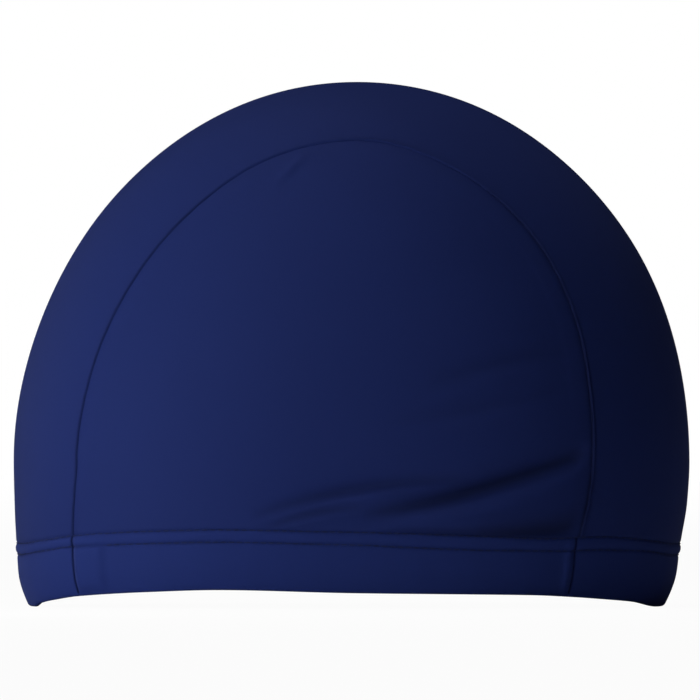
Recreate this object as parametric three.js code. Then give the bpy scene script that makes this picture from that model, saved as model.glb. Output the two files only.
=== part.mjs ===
// A fabric swim cap, standing on its rim: a centre panel runs from the forehead over the crown to the nape,
// a D-shaped panel closes each side, and a doubled hem band in four lengths goes round the opening.
// Units are millimetres. The forehead faces -X, the left side faces -Y, and +Z is up. The origin is on the
// surface that the rim rests on, below the middle of the cap.
import * as THREE from 'three';

// Overall form
const LENGTH = 220; // forehead to nape at the widest level
const BREADTH = 128; // side to side at the widest level
const HEIGHT = 170.7; // rim to crown
const WIDEST_LEVEL = 47.6; // height of the widest level above the rim
const CROWN_LEAN = 1.4; // how far the crown sits towards the nape
const LEAN_LEVEL = 0.6; // share of the crown's height at which that lean is reached
const LONG_POWER = 2.4; // roundness of the level sections along their length
const BROAD_POWER = 2.2; // roundness of the level sections across their breadth

// Cloth, hem and seams
const CLOTH = 1.2; // wall of one layer
const HEM_HEIGHT = 19.2; // usual height from the rim's edge to the upper row of stitches
const HEM_THICKNESS = 2.2; // doubled cloth
const HEM_SWELL = 0.5; // how far the hem's outer leaf stands out below its stitches
const HEM_ARCH = 6; // how far the rim rises over the ears
const SEAM_GAP = 0.3; // left open between neighbouring pieces
const ALLOWANCE_WIDTH = 6; // turned-in edge along each side seam
const ALLOWANCE_THICKNESS = 1.4; // its two layers, pressed flat
const ALLOWANCE_CLEARANCE = 0.5; // between it and the side panel's inner face
const FOLD_FADE = 7; // stretch over which a fold dies out beside a seam or the hem

// The wall below the widest level. height is a share of WIDEST_LEVEL, front and back are shares of half
// the length, breadth is a share of half the breadth, and the seam columns are shares of front and back.
const WALL = [
  { height: 0, front: 0.958, back: 0.925, breadth: 0.885, frontSeam: 0.834, backSeam: 0.684 },
  { height: 0.22, front: 0.984, back: 0.957, breadth: 0.925, frontSeam: 0.834, backSeam: 0.681 },
  { height: 0.45, front: 0.994, back: 0.974, breadth: 0.955, frontSeam: 0.833, backSeam: 0.688 },
  { height: 0.72, front: 0.998, back: 0.993, breadth: 0.987, frontSeam: 0.828, backSeam: 0.699 },
  { height: 1, front: 1, back: 1, breadth: 1, frontSeam: 0.822, backSeam: 0.706 },
];

// The side seam above the widest level. turn is in degrees from the nape over the crown to the forehead,
// and share is the seam's place between the middle of the side (0) and the outline (1).
const SEAM = [
  { turn: 0, share: 0.706 },
  { turn: 14, share: 0.718 },
  { turn: 30, share: 0.757 },
  { turn: 50, share: 0.797 },
  { turn: 70, share: 0.826 },
  { turn: 90, share: 0.848 },
  { turn: 108, share: 0.834 },
  { turn: 128, share: 0.812 },
  { turn: 152, share: 0.806 },
  { turn: 180, share: 0.822 },
];

// The hem's two edges. along is a share of half the length, from the forehead (-1) to the nape (1), rise is
// the lower edge's share of HEM_ARCH, and hem is the share of HEM_HEIGHT from there up to the upper edge.
// The rim lies flat at its two ends.
const RIM = [
  { along: -1, rise: 0, hem: 1.073 },
  { along: -0.985, rise: 0, hem: 1.072 },
  { along: -0.965, rise: 0.2, hem: 1.018 },
  { along: -0.9, rise: 0.45, hem: 1.005 },
  { along: -0.84, rise: 0.61, hem: 1.012 },
  { along: -0.62, rise: 0.86, hem: 1.02 },
  { along: -0.4, rise: 0.98, hem: 1.015 },
  { along: 0, rise: 0.82, hem: 1.025 },
  { along: 0.4, rise: 0.74, hem: 0.977 },
  { along: 0.575, rise: 0.69, hem: 0.951 },
  { along: 0.7, rise: 0.58, hem: 1.011 },
  { along: 0.8, rise: 0.45, hem: 1.047 },
  { along: 0.893, rise: 0.3, hem: 1.042 },
  { along: 0.985, rise: 0, hem: 1.062 },
  { along: 1, rise: 0, hem: 1.062 },
];

// Creases of slack cloth in the side panels, from the forehead's end to the nape's. X places are shares of
// half the length, and Z places and spread are shares of the height. bendZ pulls the middle of the crease up
// or down. depth is a share of half the breadth.
const FOLDS = [
  { side: -1, fromX: 0.05, toX: 0.72, fromZ: 0.174, bendZ: 0.226, toZ: 0.296, depth: 0.05, spread: 0.028 },
  { side: -1, fromX: -0.31, toX: 0.24, fromZ: 0.168, bendZ: 0.234, toZ: 0.241, depth: 0.026, spread: 0.022 },
  { side: -1, fromX: 0.02, toX: 0.7, fromZ: 0.458, bendZ: 0.448, toZ: 0.516, depth: 0.022, spread: 0.04 },
  { side: -1, fromX: 0.1, toX: 0.66, fromZ: 0.36, bendZ: 0.364, toZ: 0.395, depth: 0.018, spread: 0.032 },
  { side: 1, fromX: -0.44, toX: 0.54, fromZ: 0.2, bendZ: 0.2, toZ: 0.312, depth: 0.046, spread: 0.034 },
  { side: 1, fromX: 0.02, toX: 0.66, fromZ: 0.39, bendZ: 0.4, toZ: 0.486, depth: 0.024, spread: 0.04 },
  { side: 1, fromX: -0.7, toX: -0.1, fromZ: 0.41, bendZ: 0.33, toZ: 0.335, depth: 0.02, spread: 0.036 },
];
const LOBE = 0.45; // height of the swelling below a crease, as a share of the crease's depth
const LOBE_OFFSET = 1.7; // its distance below the crease, in spreads

// The hem's cross-section, from the outer leaf's top down and round to the inner leaf's top. height is a
// share of the hem's height, swell a share of HEM_SWELL outwards, and inwards a share of HEM_THICKNESS.
const HEM_PROFILE = [
  { height: 1, swell: 0, inwards: 0 },
  { height: 0.72, swell: 1, inwards: 0 },
  { height: 0.3, swell: 1, inwards: 0 },
  { height: 0, swell: 0, inwards: 0.25 },
  { height: 0, swell: 0, inwards: 0.75 },
  { height: 0.1, swell: 0, inwards: 1 },
  { height: 1, swell: 0, inwards: 1 },
];

// Facets
const SIDE_ROWS = 26; // from the hem up a side panel
const SIDE_COLUMNS = 26; // from the front seam to the back seam
const ROW_CROWDING = 1.5; // above 1 the rows crowd towards the hem, where the folds are
const ACROSS_CENTRE = 10; // across the centre panel
const END_HEM_STEPS = 15; // round the front or back hem
const SIDE_HEM_STEPS = 28; // round a side hem
const CORNER_TURNS = { back: 45, front: 135 }; // where a side panel's sides meet its top, in degrees

const crownHeight = HEIGHT - WIDEST_LEVEL;
const halfLength = LENGTH / 2;
const halfBreadth = BREADTH / 2;
const halfGap = SEAM_GAP / 2;

// A smooth curve through one column of a table against another. It never overshoots a row, and it is level
// at the last one.
function curveThrough(table, along, name) {
  const at = table.map((row) => row[along]);
  const value = table.map((row) => row[name]);
  const last = at.length - 1;
  const rate = (i) => (value[i + 1] - value[i]) / (at[i + 1] - at[i]);
  const slope = at.map((_, i) => {
    if (i === 0) return rate(0);
    if (i === last) return 0;
    const [before, after] = [rate(i - 1), rate(i)];
    return before * after > 0 ? (2 * before * after) / (before + after) : 0;
  });
  return (t) => {
    const place = THREE.MathUtils.clamp(t, at[0], at[last]);
    const i = Math.min(at.findLastIndex((a) => a <= place), last - 1);
    const span = at[i + 1] - at[i];
    const s = (place - at[i]) / span;
    const rise = s * s * (3 - 2 * s);
    const bend = s * (1 - s);
    return (
      value[i] * (1 - rise) + value[i + 1] * rise + span * bend * (slope[i] * (1 - s) - slope[i + 1] * s)
    );
  };
}

const wall = {
  front: curveThrough(WALL, 'height', 'front'),
  back: curveThrough(WALL, 'height', 'back'),
  breadth: curveThrough(WALL, 'height', 'breadth'),
  frontSeam: curveThrough(WALL, 'height', 'frontSeam'),
  backSeam: curveThrough(WALL, 'height', 'backSeam'),
};
const seamOverCrown = curveThrough(SEAM, 'turn', 'share');
const rimRise = curveThrough(RIM, 'along', 'rise');
const hemShare = curveThrough(RIM, 'along', 'hem');

// Height of the rim's lower edge at a share of half the length.
function rimEdge(along) {
  return HEM_ARCH * rimRise(along);
}

// Height of the hem's upper edge there.
function hemTop(along) {
  return rimEdge(along) + HEM_HEIGHT * hemShare(along);
}

// Half the length of the level section at height z, towards the forehead where end is negative, and
// otherwise towards the nape.
function reach(end, z) {
  return halfLength * wall[end < 0 ? 'front' : 'back'](z / WIDEST_LEVEL);
}

// Half the breadth of the level section at height z, before the crown rounds it off.
function spreadAt(z) {
  return halfBreadth * wall.breadth(z / WIDEST_LEVEL);
}

// How far the section at height z is shifted towards the nape.
function leanAt(z) {
  return CROWN_LEAN * THREE.MathUtils.smoothstep((z - WIDEST_LEVEL) / crownHeight, 0, LEAN_LEVEL);
}

// How far out a point of the side view lies: 0 at the middle, 1 on the outline.
function outward(x, z) {
  if (z < WIDEST_LEVEL) return Math.abs(x) / reach(x, z);
  return Math.hypot((x - leanAt(z)) / halfLength, (z - WIDEST_LEVEL) / crownHeight);
}

// Distance of the skin from the middle plane at a point of the side view.
function depthAt(x, z) {
  return spreadAt(z) * Math.max(0, 1 - outward(x, z) ** LONG_POWER) ** (1 / BROAD_POWER);
}

// Outward unit normal of the skin. Below the widest level it stays level.
function normalAt({ x, y, z }) {
  const step = 0.01;
  const level = (px, py, pz) => outward(px, pz) ** LONG_POWER + (Math.abs(py) / spreadAt(pz)) ** BROAD_POWER;
  return new THREE.Vector3(
    level(x + step, y, z) - level(x - step, y, z),
    level(x, y + step, z) - level(x, y - step, z),
    z < WIDEST_LEVEL ? 0 : level(x, y, z + step) - level(x, y, z - step),
  ).normalize();
}

// A place on the line from the front hem over the crown to the back hem. At an end it holds the share of
// the way up from the hem, and over the crown the turn in degrees.
function spineStations() {
  const wallShare = (WIDEST_LEVEL - HEM_HEIGHT) / (WIDEST_LEVEL - HEM_HEIGHT + crownHeight);
  const side = (end) =>
    Array.from({ length: SIDE_ROWS }, (_, row) => {
      const up = (row / SIDE_ROWS) ** ROW_CROWDING;
      const corner = end < 0 ? 180 - CORNER_TURNS.front : CORNER_TURNS.back;
      if (up < wallShare) return { end, up: up / wallShare };
      const turned = (corner * (up - wallShare)) / (1 - wallShare);
      return { end, turn: end < 0 ? 180 - turned : turned };
    });
  const span = CORNER_TURNS.front - CORNER_TURNS.back;
  const top = Array.from({ length: SIDE_COLUMNS + 1 }, (_, column) => ({
    end: 0,
    turn: CORNER_TURNS.front - (span * column) / SIDE_COLUMNS,
  }));
  return [...side(-1), ...top, ...side(1).reverse()];
}

// The point of the side view at a station and a share of the way out. The lowest one is clear of the hem.
function sidePoint(station, share, clear) {
  if (station.up !== undefined) {
    const foot = hemTop(station.end * share) + clear;
    const z = THREE.MathUtils.lerp(foot, WIDEST_LEVEL, station.up);
    return { x: station.end * share * reach(station.end, z), z };
  }
  const turn = THREE.MathUtils.degToRad(station.turn);
  const z = WIDEST_LEVEL + share * crownHeight * Math.sin(turn);
  return { x: share * halfLength * Math.cos(turn) + leanAt(z), z };
}

// The side seam's share of the way out at a station.
function seamShare(station) {
  if (station.turn !== undefined) return seamOverCrown(station.turn);
  const z = THREE.MathUtils.lerp(HEM_HEIGHT, WIDEST_LEVEL, station.up);
  return wall[station.end < 0 ? 'frontSeam' : 'backSeam'](z / WIDEST_LEVEL);
}

// A small distance in the side view as a share of the way out.
function asShare(distance) {
  return distance / halfLength;
}

// Signed height of the relief that the folds give a side panel, negative inwards.
function foldRelief(side, x, z) {
  let relief = 0;
  for (const fold of FOLDS.filter((row) => row.side === side)) {
    const { fromX, toX, fromZ, bendZ, toZ, depth } = fold;
    const along = THREE.MathUtils.clamp((x / halfLength - fromX) / (toX - fromX), 0, 1);
    const route = new THREE.QuadraticBezierCurve(
      new THREE.Vector2(fromX * halfLength, fromZ * HEIGHT),
      new THREE.Vector2(((fromX + toX) / 2) * halfLength, bendZ * HEIGHT),
      new THREE.Vector2(toX * halfLength, toZ * HEIGHT),
    );
    const spread = fold.spread * HEIGHT;
    const above = (z - route.getPoint(along).y) * route.getTangent(along).x;
    const bell = (distance) => Math.exp(-((distance / spread) ** 2));
    const strength = depth * halfBreadth * Math.sin(Math.PI * along);
    relief += strength * (LOBE * bell(above + LOBE_OFFSET * spread) - bell(above));
  }
  return relief;
}

// Folds die out before they reach the turned-in seam edge and the hem.
function foldFade(x, z, seam) {
  const fromSeam = (seam - outward(x, z)) * halfLength - ALLOWANCE_WIDTH;
  const fromHem = z - hemTop(x / halfLength);
  return THREE.MathUtils.smoothstep(Math.min(fromSeam, fromHem), 0, FOLD_FADE);
}

// The seam's share on the line from the middle of the side through any point of the side view.
function seamShareAt(x, z) {
  if (z < WIDEST_LEVEL) return wall[x < 0 ? 'frontSeam' : 'backSeam'](z / WIDEST_LEVEL);
  const turn = Math.atan2((z - WIDEST_LEVEL) / crownHeight, (x - leanAt(z)) / halfLength);
  return seamOverCrown(THREE.MathUtils.radToDeg(turn));
}

// A point on the outer face of a side, moved in or out by the folds, and then inwards by a depth.
function sideWallPoint(side, { x, z }, inwards) {
  const skin = new THREE.Vector3(x, side * depthAt(x, z), z);
  const relief = foldRelief(side, x, z) * foldFade(x, z, seamShareAt(x, z));
  return skin.addScaledVector(normalAt(skin), relief - inwards);
}

// A geometry from points and faces given as index triples, turned so that its faces point outwards.
function solidGeometry(points, faces) {
  const volume = faces.reduce((sum, [a, b, c]) => sum + points[a].dot(points[b].clone().cross(points[c])), 0);
  const outwardFaces = volume > 0 ? faces : faces.map(([a, b, c]) => [a, c, b]);
  const geometry = new THREE.BufferGeometry().setFromPoints(points);
  geometry.setIndex(outwardFaces.flat());
  geometry.computeVertexNormals();
  return geometry;
}

// A closed wall between an outer and an inner sheet, both grids of the same size.
function wallGeometry(outer, inner) {
  const rows = outer.length;
  const columns = outer[0].length;
  const points = [...outer.flat(), ...inner.flat()];
  const index = (layer, i, j) => layer * rows * columns + i * columns + j;
  const quad = (a, b, c, d) => [[a, b, c], [a, c, d]];
  const faces = [];
  for (let i = 0; i < rows - 1; i++) {
    for (let j = 0; j < columns - 1; j++) {
      for (const layer of [0, 1]) {
        const near = [index(layer, i, j), index(layer, i, j + 1)];
        const far = [index(layer, i + 1, j + 1), index(layer, i + 1, j)];
        const corners = [...near, ...far];
        faces.push(...quad(...(layer ? corners.reverse() : corners)));
      }
    }
  }
  const border = [
    ...Array.from({ length: columns }, (_, j) => [0, j]),
    ...Array.from({ length: rows - 1 }, (_, i) => [i + 1, columns - 1]),
    ...Array.from({ length: columns - 1 }, (_, j) => [rows - 1, columns - 2 - j]),
    ...Array.from({ length: rows - 2 }, (_, i) => [rows - 2 - i, 0]),
  ];
  border.forEach((here, k) => {
    const next = border[(k + 1) % border.length];
    faces.push(...quad(index(0, ...next), index(0, ...here), index(1, ...here), index(1, ...next)));
  });
  return solidGeometry(points, faces);
}

// A closed bar through cross-sections that all have the same number of points.
function barGeometry(sections) {
  const count = sections[0].length;
  const points = sections.flat();
  const faces = [];
  for (let i = 0; i < sections.length - 1; i++) {
    for (let j = 0; j < count; j++) {
      const next = (j + 1) % count;
      const [a, b] = [i * count + j, i * count + next];
      faces.push([a, b, b + count], [a, b + count, a + count]);
    }
  }
  const end = (sections.length - 1) * count;
  for (let j = 1; j < count - 1; j++) {
    faces.push([0, j + 1, j], [end, end + j, end + j + 1]);
  }
  return solidGeometry(points, faces);
}

// The panel over the crown, from the front hem to the back hem and from side seam to side seam.
function centrePanelGeometry() {
  const sheet = (inwards) =>
    spineStations().map((station) => {
      const edge = Math.acos((seamShare(station) + asShare(halfGap)) ** (LONG_POWER / 2));
      return Array.from({ length: ACROSS_CENTRE + 1 }, (_, j) => {
        const turn = edge * ((2 * j) / ACROSS_CENTRE - 1);
        const share = Math.cos(turn) ** (2 / LONG_POWER);
        const { x, z } = sidePoint(station, share, SEAM_GAP);
        const y = Math.sign(turn) * spreadAt(z) * Math.abs(Math.sin(turn)) ** (2 / BROAD_POWER);
        const skin = new THREE.Vector3(x, y, z);
        return skin.addScaledVector(normalAt(skin), -inwards);
      });
    });
  return wallGeometry(sheet(0), sheet(CLOTH));
}

// A side panel: a grid stretched between the hem below and the seam on its other three sides.
function sidePanelGeometry(side) {
  const stations = spineStations();
  const seam = stations.map((station) => sidePoint(station, seamShare(station) - asShare(halfGap), SEAM_GAP));
  const left = seam.slice(0, SIDE_ROWS + 1);
  const top = seam.slice(SIDE_ROWS, SIDE_ROWS + SIDE_COLUMNS + 1);
  const right = seam.slice(SIDE_ROWS + SIDE_COLUMNS).reverse();
  const bottom = Array.from({ length: SIDE_COLUMNS + 1 }, (_, j) => {
    const x = THREE.MathUtils.lerp(left[0].x, right[0].x, j / SIDE_COLUMNS);
    const z = hemTop(x / reach(x, HEM_HEIGHT)) + SEAM_GAP;
    return { x, z };
  });
  const place = (i, j) => {
    const u = j / SIDE_COLUMNS;
    const v = (i / SIDE_ROWS) ** ROW_CROWDING;
    const blend = (key) => {
      const upwards = (1 - v) * bottom[j][key] + v * top[j][key];
      const sideways = (1 - u) * left[i][key] + u * right[i][key];
      const corners =
        (1 - u) * ((1 - v) * left[0][key] + v * left[SIDE_ROWS][key]) +
        u * ((1 - v) * right[0][key] + v * right[SIDE_ROWS][key]);
      return upwards + sideways - corners;
    };
    return { x: blend('x'), z: blend('z') };
  };
  const sheet = (inwards) =>
    Array.from({ length: SIDE_ROWS + 1 }, (_, i) =>
      Array.from({ length: SIDE_COLUMNS + 1 }, (_, j) => sideWallPoint(side, place(i, j), inwards)),
    );
  return wallGeometry(sheet(0), sheet(CLOTH));
}

// The turned-in edges of a side seam, pressed flat against the inside of the side panel.
function allowanceGeometry(side) {
  const nearSeam = halfGap + ALLOWANCE_CLEARANCE;
  const aboveHem = SEAM_GAP + ALLOWANCE_CLEARANCE;
  const under = CLOTH + ALLOWANCE_CLEARANCE;
  const corners = [
    [nearSeam, under],
    [nearSeam + ALLOWANCE_WIDTH, under],
    [nearSeam + ALLOWANCE_WIDTH, under + ALLOWANCE_THICKNESS],
    [nearSeam, under + ALLOWANCE_THICKNESS],
  ];
  const sections = spineStations().map((station) =>
    corners.map(([fromSeam, inwards]) => {
      const share = seamShare(station) - asShare(fromSeam);
      const { x, z } = sidePoint(station, share, aboveHem);
      const skin = new THREE.Vector3(x, side * depthAt(x, z), z);
      return skin.addScaledVector(normalAt(skin), -inwards);
    }),
  );
  return barGeometry(sections);
}

// A length of hem band. It runs round the rim between two turns, each measured in the level section from
// the forehead (0 degrees) by the left side (90) to the nape (180) and on by the right side.
function hemGeometry(fromTurn, toTurn, steps) {
  const sections = Array.from({ length: steps + 1 }, (_, i) => {
    const turn = THREE.MathUtils.lerp(fromTurn, toTurn, i / steps);
    const along = -Math.sign(Math.cos(turn)) * Math.abs(Math.cos(turn)) ** (2 / LONG_POWER);
    const across = -Math.sign(Math.sin(turn)) * Math.abs(Math.sin(turn)) ** (2 / BROAD_POWER);
    return HEM_PROFILE.map(({ height, swell, inwards }) => {
      const z = THREE.MathUtils.lerp(rimEdge(along), hemTop(along), height);
      const skin = new THREE.Vector3(along * reach(along, z), across * spreadAt(z), z);
      return skin.addScaledVector(normalAt(skin), swell * HEM_SWELL - inwards * HEM_THICKNESS);
    });
  });
  return barGeometry(sections);
}

// The turn in the level section at which a side seam crosses the hem, kept half a gap to one side of it.
function hemSeamTurn(end, aside) {
  const share = wall[end < 0 ? 'frontSeam' : 'backSeam'](HEM_HEIGHT / WIDEST_LEVEL) + asShare(aside);
  const turn = Math.acos(share ** (LONG_POWER / 2));
  return end < 0 ? turn : Math.PI - turn;
}

function clothMaterial(name, color, roughness) {
  return new THREE.MeshStandardMaterial({ name, color, roughness, metalness: 0, side: THREE.DoubleSide });
}

function addPiece(group, name, geometry, material) {
  const piece = new THREE.Mesh(geometry, material.clone());
  piece.name = name;
  group.add(piece);
}

const panelCloth = clothMaterial('panel_cloth', '#1f2c66', 0.62);
const hemCloth = clothMaterial('hem_cloth', '#212f6b', 0.6);
const seamThread = clothMaterial('seam_thread', '#182353', 0.8);

const cap = new THREE.Group();
addPiece(cap, 'centre_panel', centrePanelGeometry(), panelCloth);
for (const [name, side] of [['left', -1], ['right', 1]]) {
  addPiece(cap, `${name}_panel`, sidePanelGeometry(side), panelCloth);
  addPiece(cap, `${name}_seam_allowance`, allowanceGeometry(side), seamThread);
}

const frontTurn = hemSeamTurn(-1, halfGap);
const backTurn = hemSeamTurn(1, halfGap);
const sideTurns = [hemSeamTurn(-1, -halfGap), hemSeamTurn(1, -halfGap)];
addPiece(cap, 'front_hem', hemGeometry(-frontTurn, frontTurn, END_HEM_STEPS), hemCloth);
addPiece(cap, 'left_hem', hemGeometry(sideTurns[0], sideTurns[1], SIDE_HEM_STEPS), hemCloth);
addPiece(cap, 'back_hem', hemGeometry(backTurn, 2 * Math.PI - backTurn, END_HEM_STEPS), hemCloth);
addPiece(cap, 'right_hem', hemGeometry(-sideTurns[0], -sideTurns[1], SIDE_HEM_STEPS), hemCloth);

export default cap;
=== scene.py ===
"""A navy fabric swim cap that stands on a pale studio floor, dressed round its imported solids.

Lengths are in metres. The forehead faces -X, the wearer's left faces -Y and the camera, and +Z is up. The
cap is sewn from a centre panel over the crown, a D-shaped panel each side and a doubled hem round the rim.
"""

import sys
import logging
import math
from dataclasses import dataclass, field
from enum import Enum
from typing import Any, Callable, NamedTuple, Sequence

import bpy
import numpy as np
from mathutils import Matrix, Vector


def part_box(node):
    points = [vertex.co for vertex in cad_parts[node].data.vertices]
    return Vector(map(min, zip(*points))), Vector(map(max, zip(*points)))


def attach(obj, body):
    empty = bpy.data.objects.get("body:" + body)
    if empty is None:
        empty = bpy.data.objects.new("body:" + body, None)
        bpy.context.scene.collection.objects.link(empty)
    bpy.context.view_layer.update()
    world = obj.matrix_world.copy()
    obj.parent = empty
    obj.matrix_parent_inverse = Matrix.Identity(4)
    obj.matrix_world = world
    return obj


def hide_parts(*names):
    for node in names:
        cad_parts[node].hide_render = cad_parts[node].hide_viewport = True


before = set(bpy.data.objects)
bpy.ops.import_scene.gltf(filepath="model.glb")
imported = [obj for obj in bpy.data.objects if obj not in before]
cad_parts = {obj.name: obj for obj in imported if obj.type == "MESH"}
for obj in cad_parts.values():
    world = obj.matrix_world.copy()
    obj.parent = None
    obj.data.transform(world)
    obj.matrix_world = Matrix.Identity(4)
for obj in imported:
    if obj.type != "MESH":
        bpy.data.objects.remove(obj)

LOG = logging.getLogger("swim_cap")
MM = 0.001
BODY = "root"

Array = np.ndarray
Colour = tuple[float, float, float]
Inputs = dict[Any, Any]


class WallRow(NamedTuple):
    """A level of the wall below the widest level.

    height is a share of that level, front and back are shares of half the length, breadth is a share of
    half the breadth, and the seam columns are shares of front and back.
    """

    height: float
    front: float
    back: float
    breadth: float
    front_seam: float
    back_seam: float


WALL = (
    WallRow(0.00, 0.958, 0.925, 0.885, 0.829, 0.684),
    WallRow(0.22, 0.984, 0.957, 0.925, 0.829, 0.681),
    WallRow(0.45, 0.994, 0.974, 0.955, 0.826, 0.6895),
    WallRow(0.72, 0.998, 0.993, 0.987, 0.819, 0.7010),
    WallRow(1.00, 1.000, 1.000, 1.000, 0.811, 0.7085),
)


class SeamRow(NamedTuple):
    """A place on the side seam above the widest level.

    turn is in degrees from the nape over the crown to the forehead. share is the seam's place between the
    middle of the side (0) and the outline (1). inner and outer set how dark the painted shade is in the
    seam along the edge of the side panel and along that of the centre panel, from 0 to 1.
    """

    turn: float
    share: float
    inner: float
    outer: float


SEAM = (
    SeamRow(0, 0.7085, 1.00, 0.66),
    SeamRow(14, 0.7195, 1.00, 0.66),
    SeamRow(30, 0.7490, 0.90, 0.62),
    SeamRow(50, 0.7900, 0.85, 0.60),
    SeamRow(70, 0.8210, 0.20, 0.25),
    SeamRow(90, 0.8440, 0.15, 0.05),
    SeamRow(108, 0.8355, 0.10, 0.00),
    SeamRow(128, 0.8160, 0.45, 0.40),
    SeamRow(152, 0.8070, 0.45, 0.40),
    SeamRow(166, 0.8060, 0.50, 0.40),
    SeamRow(180, 0.8110, 0.50, 0.50),
)


class RimRow(NamedTuple):
    """A place along the rim, from the forehead (-1) to the nape (1) as a share of half the length.

    rise is the lower edge's share of the hem's arch, and hem is the share of the hem's usual height from
    there up to the upper row of stitches.
    """

    along: float
    rise: float
    hem: float


RIM = (
    RimRow(-1.000, 0.00, 1.073),
    RimRow(-0.985, 0.00, 1.072),
    RimRow(-0.965, 0.20, 1.018),
    RimRow(-0.900, 0.45, 1.005),
    RimRow(-0.840, 0.61, 1.012),
    RimRow(-0.620, 0.86, 1.020),
    RimRow(-0.400, 0.98, 1.015),
    RimRow(0.000, 0.82, 1.025),
    RimRow(0.400, 0.74, 0.977),
    RimRow(0.575, 0.69, 0.951),
    RimRow(0.700, 0.58, 1.011),
    RimRow(0.800, 0.45, 1.047),
    RimRow(0.893, 0.30, 1.042),
    RimRow(0.985, 0.00, 1.062),
    RimRow(1.000, 0.00, 1.062),
)


class Side(Enum):
    """A side of the cap, as the sign of its Y places."""

    LEFT = -1
    RIGHT = 1

    @property
    def word(self) -> str:
        """The side's name in piece names."""
        return self.name.lower()


class Crease(NamedTuple):
    """A crease in a panel, as a bent line in the side view.

    X places are shares of half the length, and Z places and spread are shares of the height. bend_z pulls
    the middle of the line up or down. depth is a share of half the breadth, negative for a ridge, lobe is the
    height of the swelling below the crease, as a share of its depth, and shade is the share of the light that
    the folded cloth keeps off its bottom, painted into the colour there as shade.
    """

    from_x: float
    to_x: float
    from_z: float
    bend_z: float
    to_z: float
    depth: float
    spread: float
    lobe: float
    shade: float = 0.0


# The last number of a row, where given, is painted shade along the crease's bottom.
SIDE_CREASES = {
    Side.LEFT: (
        Crease(0.00, 0.80, 0.179, 0.214, 0.324, 0.034, 0.026, 0.45),
        Crease(0.03, 0.80, 0.177, 0.214, 0.322, 0.024, 0.0130, 0.00, 0.52),
        Crease(0.02, 0.82, 0.190, 0.104, 0.228, -0.026, 0.032, 0.00),
        Crease(-0.30, 0.36, 0.176, 0.249, 0.246, 0.016, 0.022, 0.45),
        Crease(-0.30, 0.36, 0.174, 0.247, 0.244, 0.018, 0.010, 0.60, 0.26),
        Crease(-0.25, 0.04, 0.153, 0.190, 0.191, 0.016, 0.008, 0.50, 0.26),
        Crease(0.22, 0.66, 0.425, 0.472, 0.486, 0.007, 0.016, 0.50, 0.10),
        Crease(0.10, 0.70, 0.356, 0.372, 0.425, 0.007, 0.014, 0.45, 0.08),
        Crease(0.10, 0.82, 0.146, 0.126, 0.166, 0.016, 0.012, 0.00, 0.26),
        Crease(0.36, 0.84, 0.138, 0.142, 0.192, 0.010, 0.024, 0.00, 0.32),
        Crease(-0.235, -0.120, 0.800, 0.834, 0.868, -0.010, 0.008, 0.00),
    ),
    Side.RIGHT: (
        Crease(-0.46, 0.56, 0.200, 0.200, 0.314, 0.036, 0.032, 0.45),
        Crease(-0.46, 0.56, 0.197, 0.197, 0.311, 0.018, 0.013, 0.40, 0.45),
        Crease(0.00, 0.70, 0.390, 0.400, 0.492, 0.016, 0.034, 0.45, 0.08),
        Crease(-0.72, -0.06, 0.410, 0.330, 0.335, 0.016, 0.032, 0.45, 0.10),
        Crease(0.28, 0.64, 0.180, 0.170, 0.215, 0.014, 0.012, 0.40, 0.22),
        Crease(0.05, 0.20, 0.800, 0.830, 0.860, -0.008, 0.009, 0.00),
    ),
}
CENTRE_CREASES = {
    Side.LEFT: (Crease(-0.16, -0.03, 0.856, 0.866, 0.878, -0.006, 0.007, 0.00),),
    Side.RIGHT: (Crease(0.04, 0.16, 0.872, 0.864, 0.850, -0.006, 0.007, 0.00),),
}


@dataclass(frozen=True)
class Curve:
    """A smooth curve through the rows of a table that never overshoots a row and ends level.

    Attributes:
        at: where the rows stand, in rising order.
        value: what the curve is there.
    """

    at: Array
    value: Array

    @classmethod
    def through(cls, table: Sequence[Any], along: str, name: str) -> "Curve":
        """Reads one column of a table against another.

        Args:
            table: the rows.
            along: the column that gives the places.
            name: the column that gives the values.

        Returns:
            The curve through them.
        """
        at = np.array([getattr(row, along) for row in table], float)
        value = np.array([getattr(row, name) for row in table], float)
        return cls(at, value)

    def __call__(self, place: Array | float) -> Array:
        """The curve at places, held at its ends beyond them.

        Args:
            place: where to read it.

        Returns:
            Its values there.
        """
        rate = np.diff(self.value) / np.diff(self.at)
        before, after = rate[:-1], rate[1:]
        same_way = before * after > 0
        total = np.where(same_way, before + after, 1.0)
        inner = np.where(same_way, 2 * before * after / total, 0.0)
        slope = np.concatenate([[rate[0]], inner, [0.0]])
        place = np.clip(place, self.at[0], self.at[-1])
        i = np.clip(np.searchsorted(self.at, place, side="right") - 1, 0, len(rate) - 1)
        span = self.at[i + 1] - self.at[i]
        s = (place - self.at[i]) / span
        rise = s * s * (3 - 2 * s)
        bend = span * s * (1 - s) * (slope[i] * (1 - s) - slope[i + 1] * s)
        return self.value[i] * (1 - rise) + self.value[i + 1] * rise + bend


WALL_CURVES = {name: Curve.through(WALL, "height", name) for name in WallRow._fields[1:]}
SEAM_CURVE = Curve.through(SEAM, "turn", "share")
INNER_EDGE_SHADE = Curve.through(SEAM, "turn", "inner")
OUTER_EDGE_SHADE = Curve.through(SEAM, "turn", "outer")
RIM_RISE = Curve.through(RIM, "along", "rise")
RIM_HEM = Curve.through(RIM, "along", "hem")


def unit(vectors: Array) -> Array:
    """Vectors scaled to a length of one.

    Args:
        vectors: an array whose last axis is X, Y, Z.

    Returns:
        The same directions at unit length.
    """
    return vectors / np.maximum(np.linalg.norm(vectors, axis=-1, keepdims=True), 1e-12)


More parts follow.
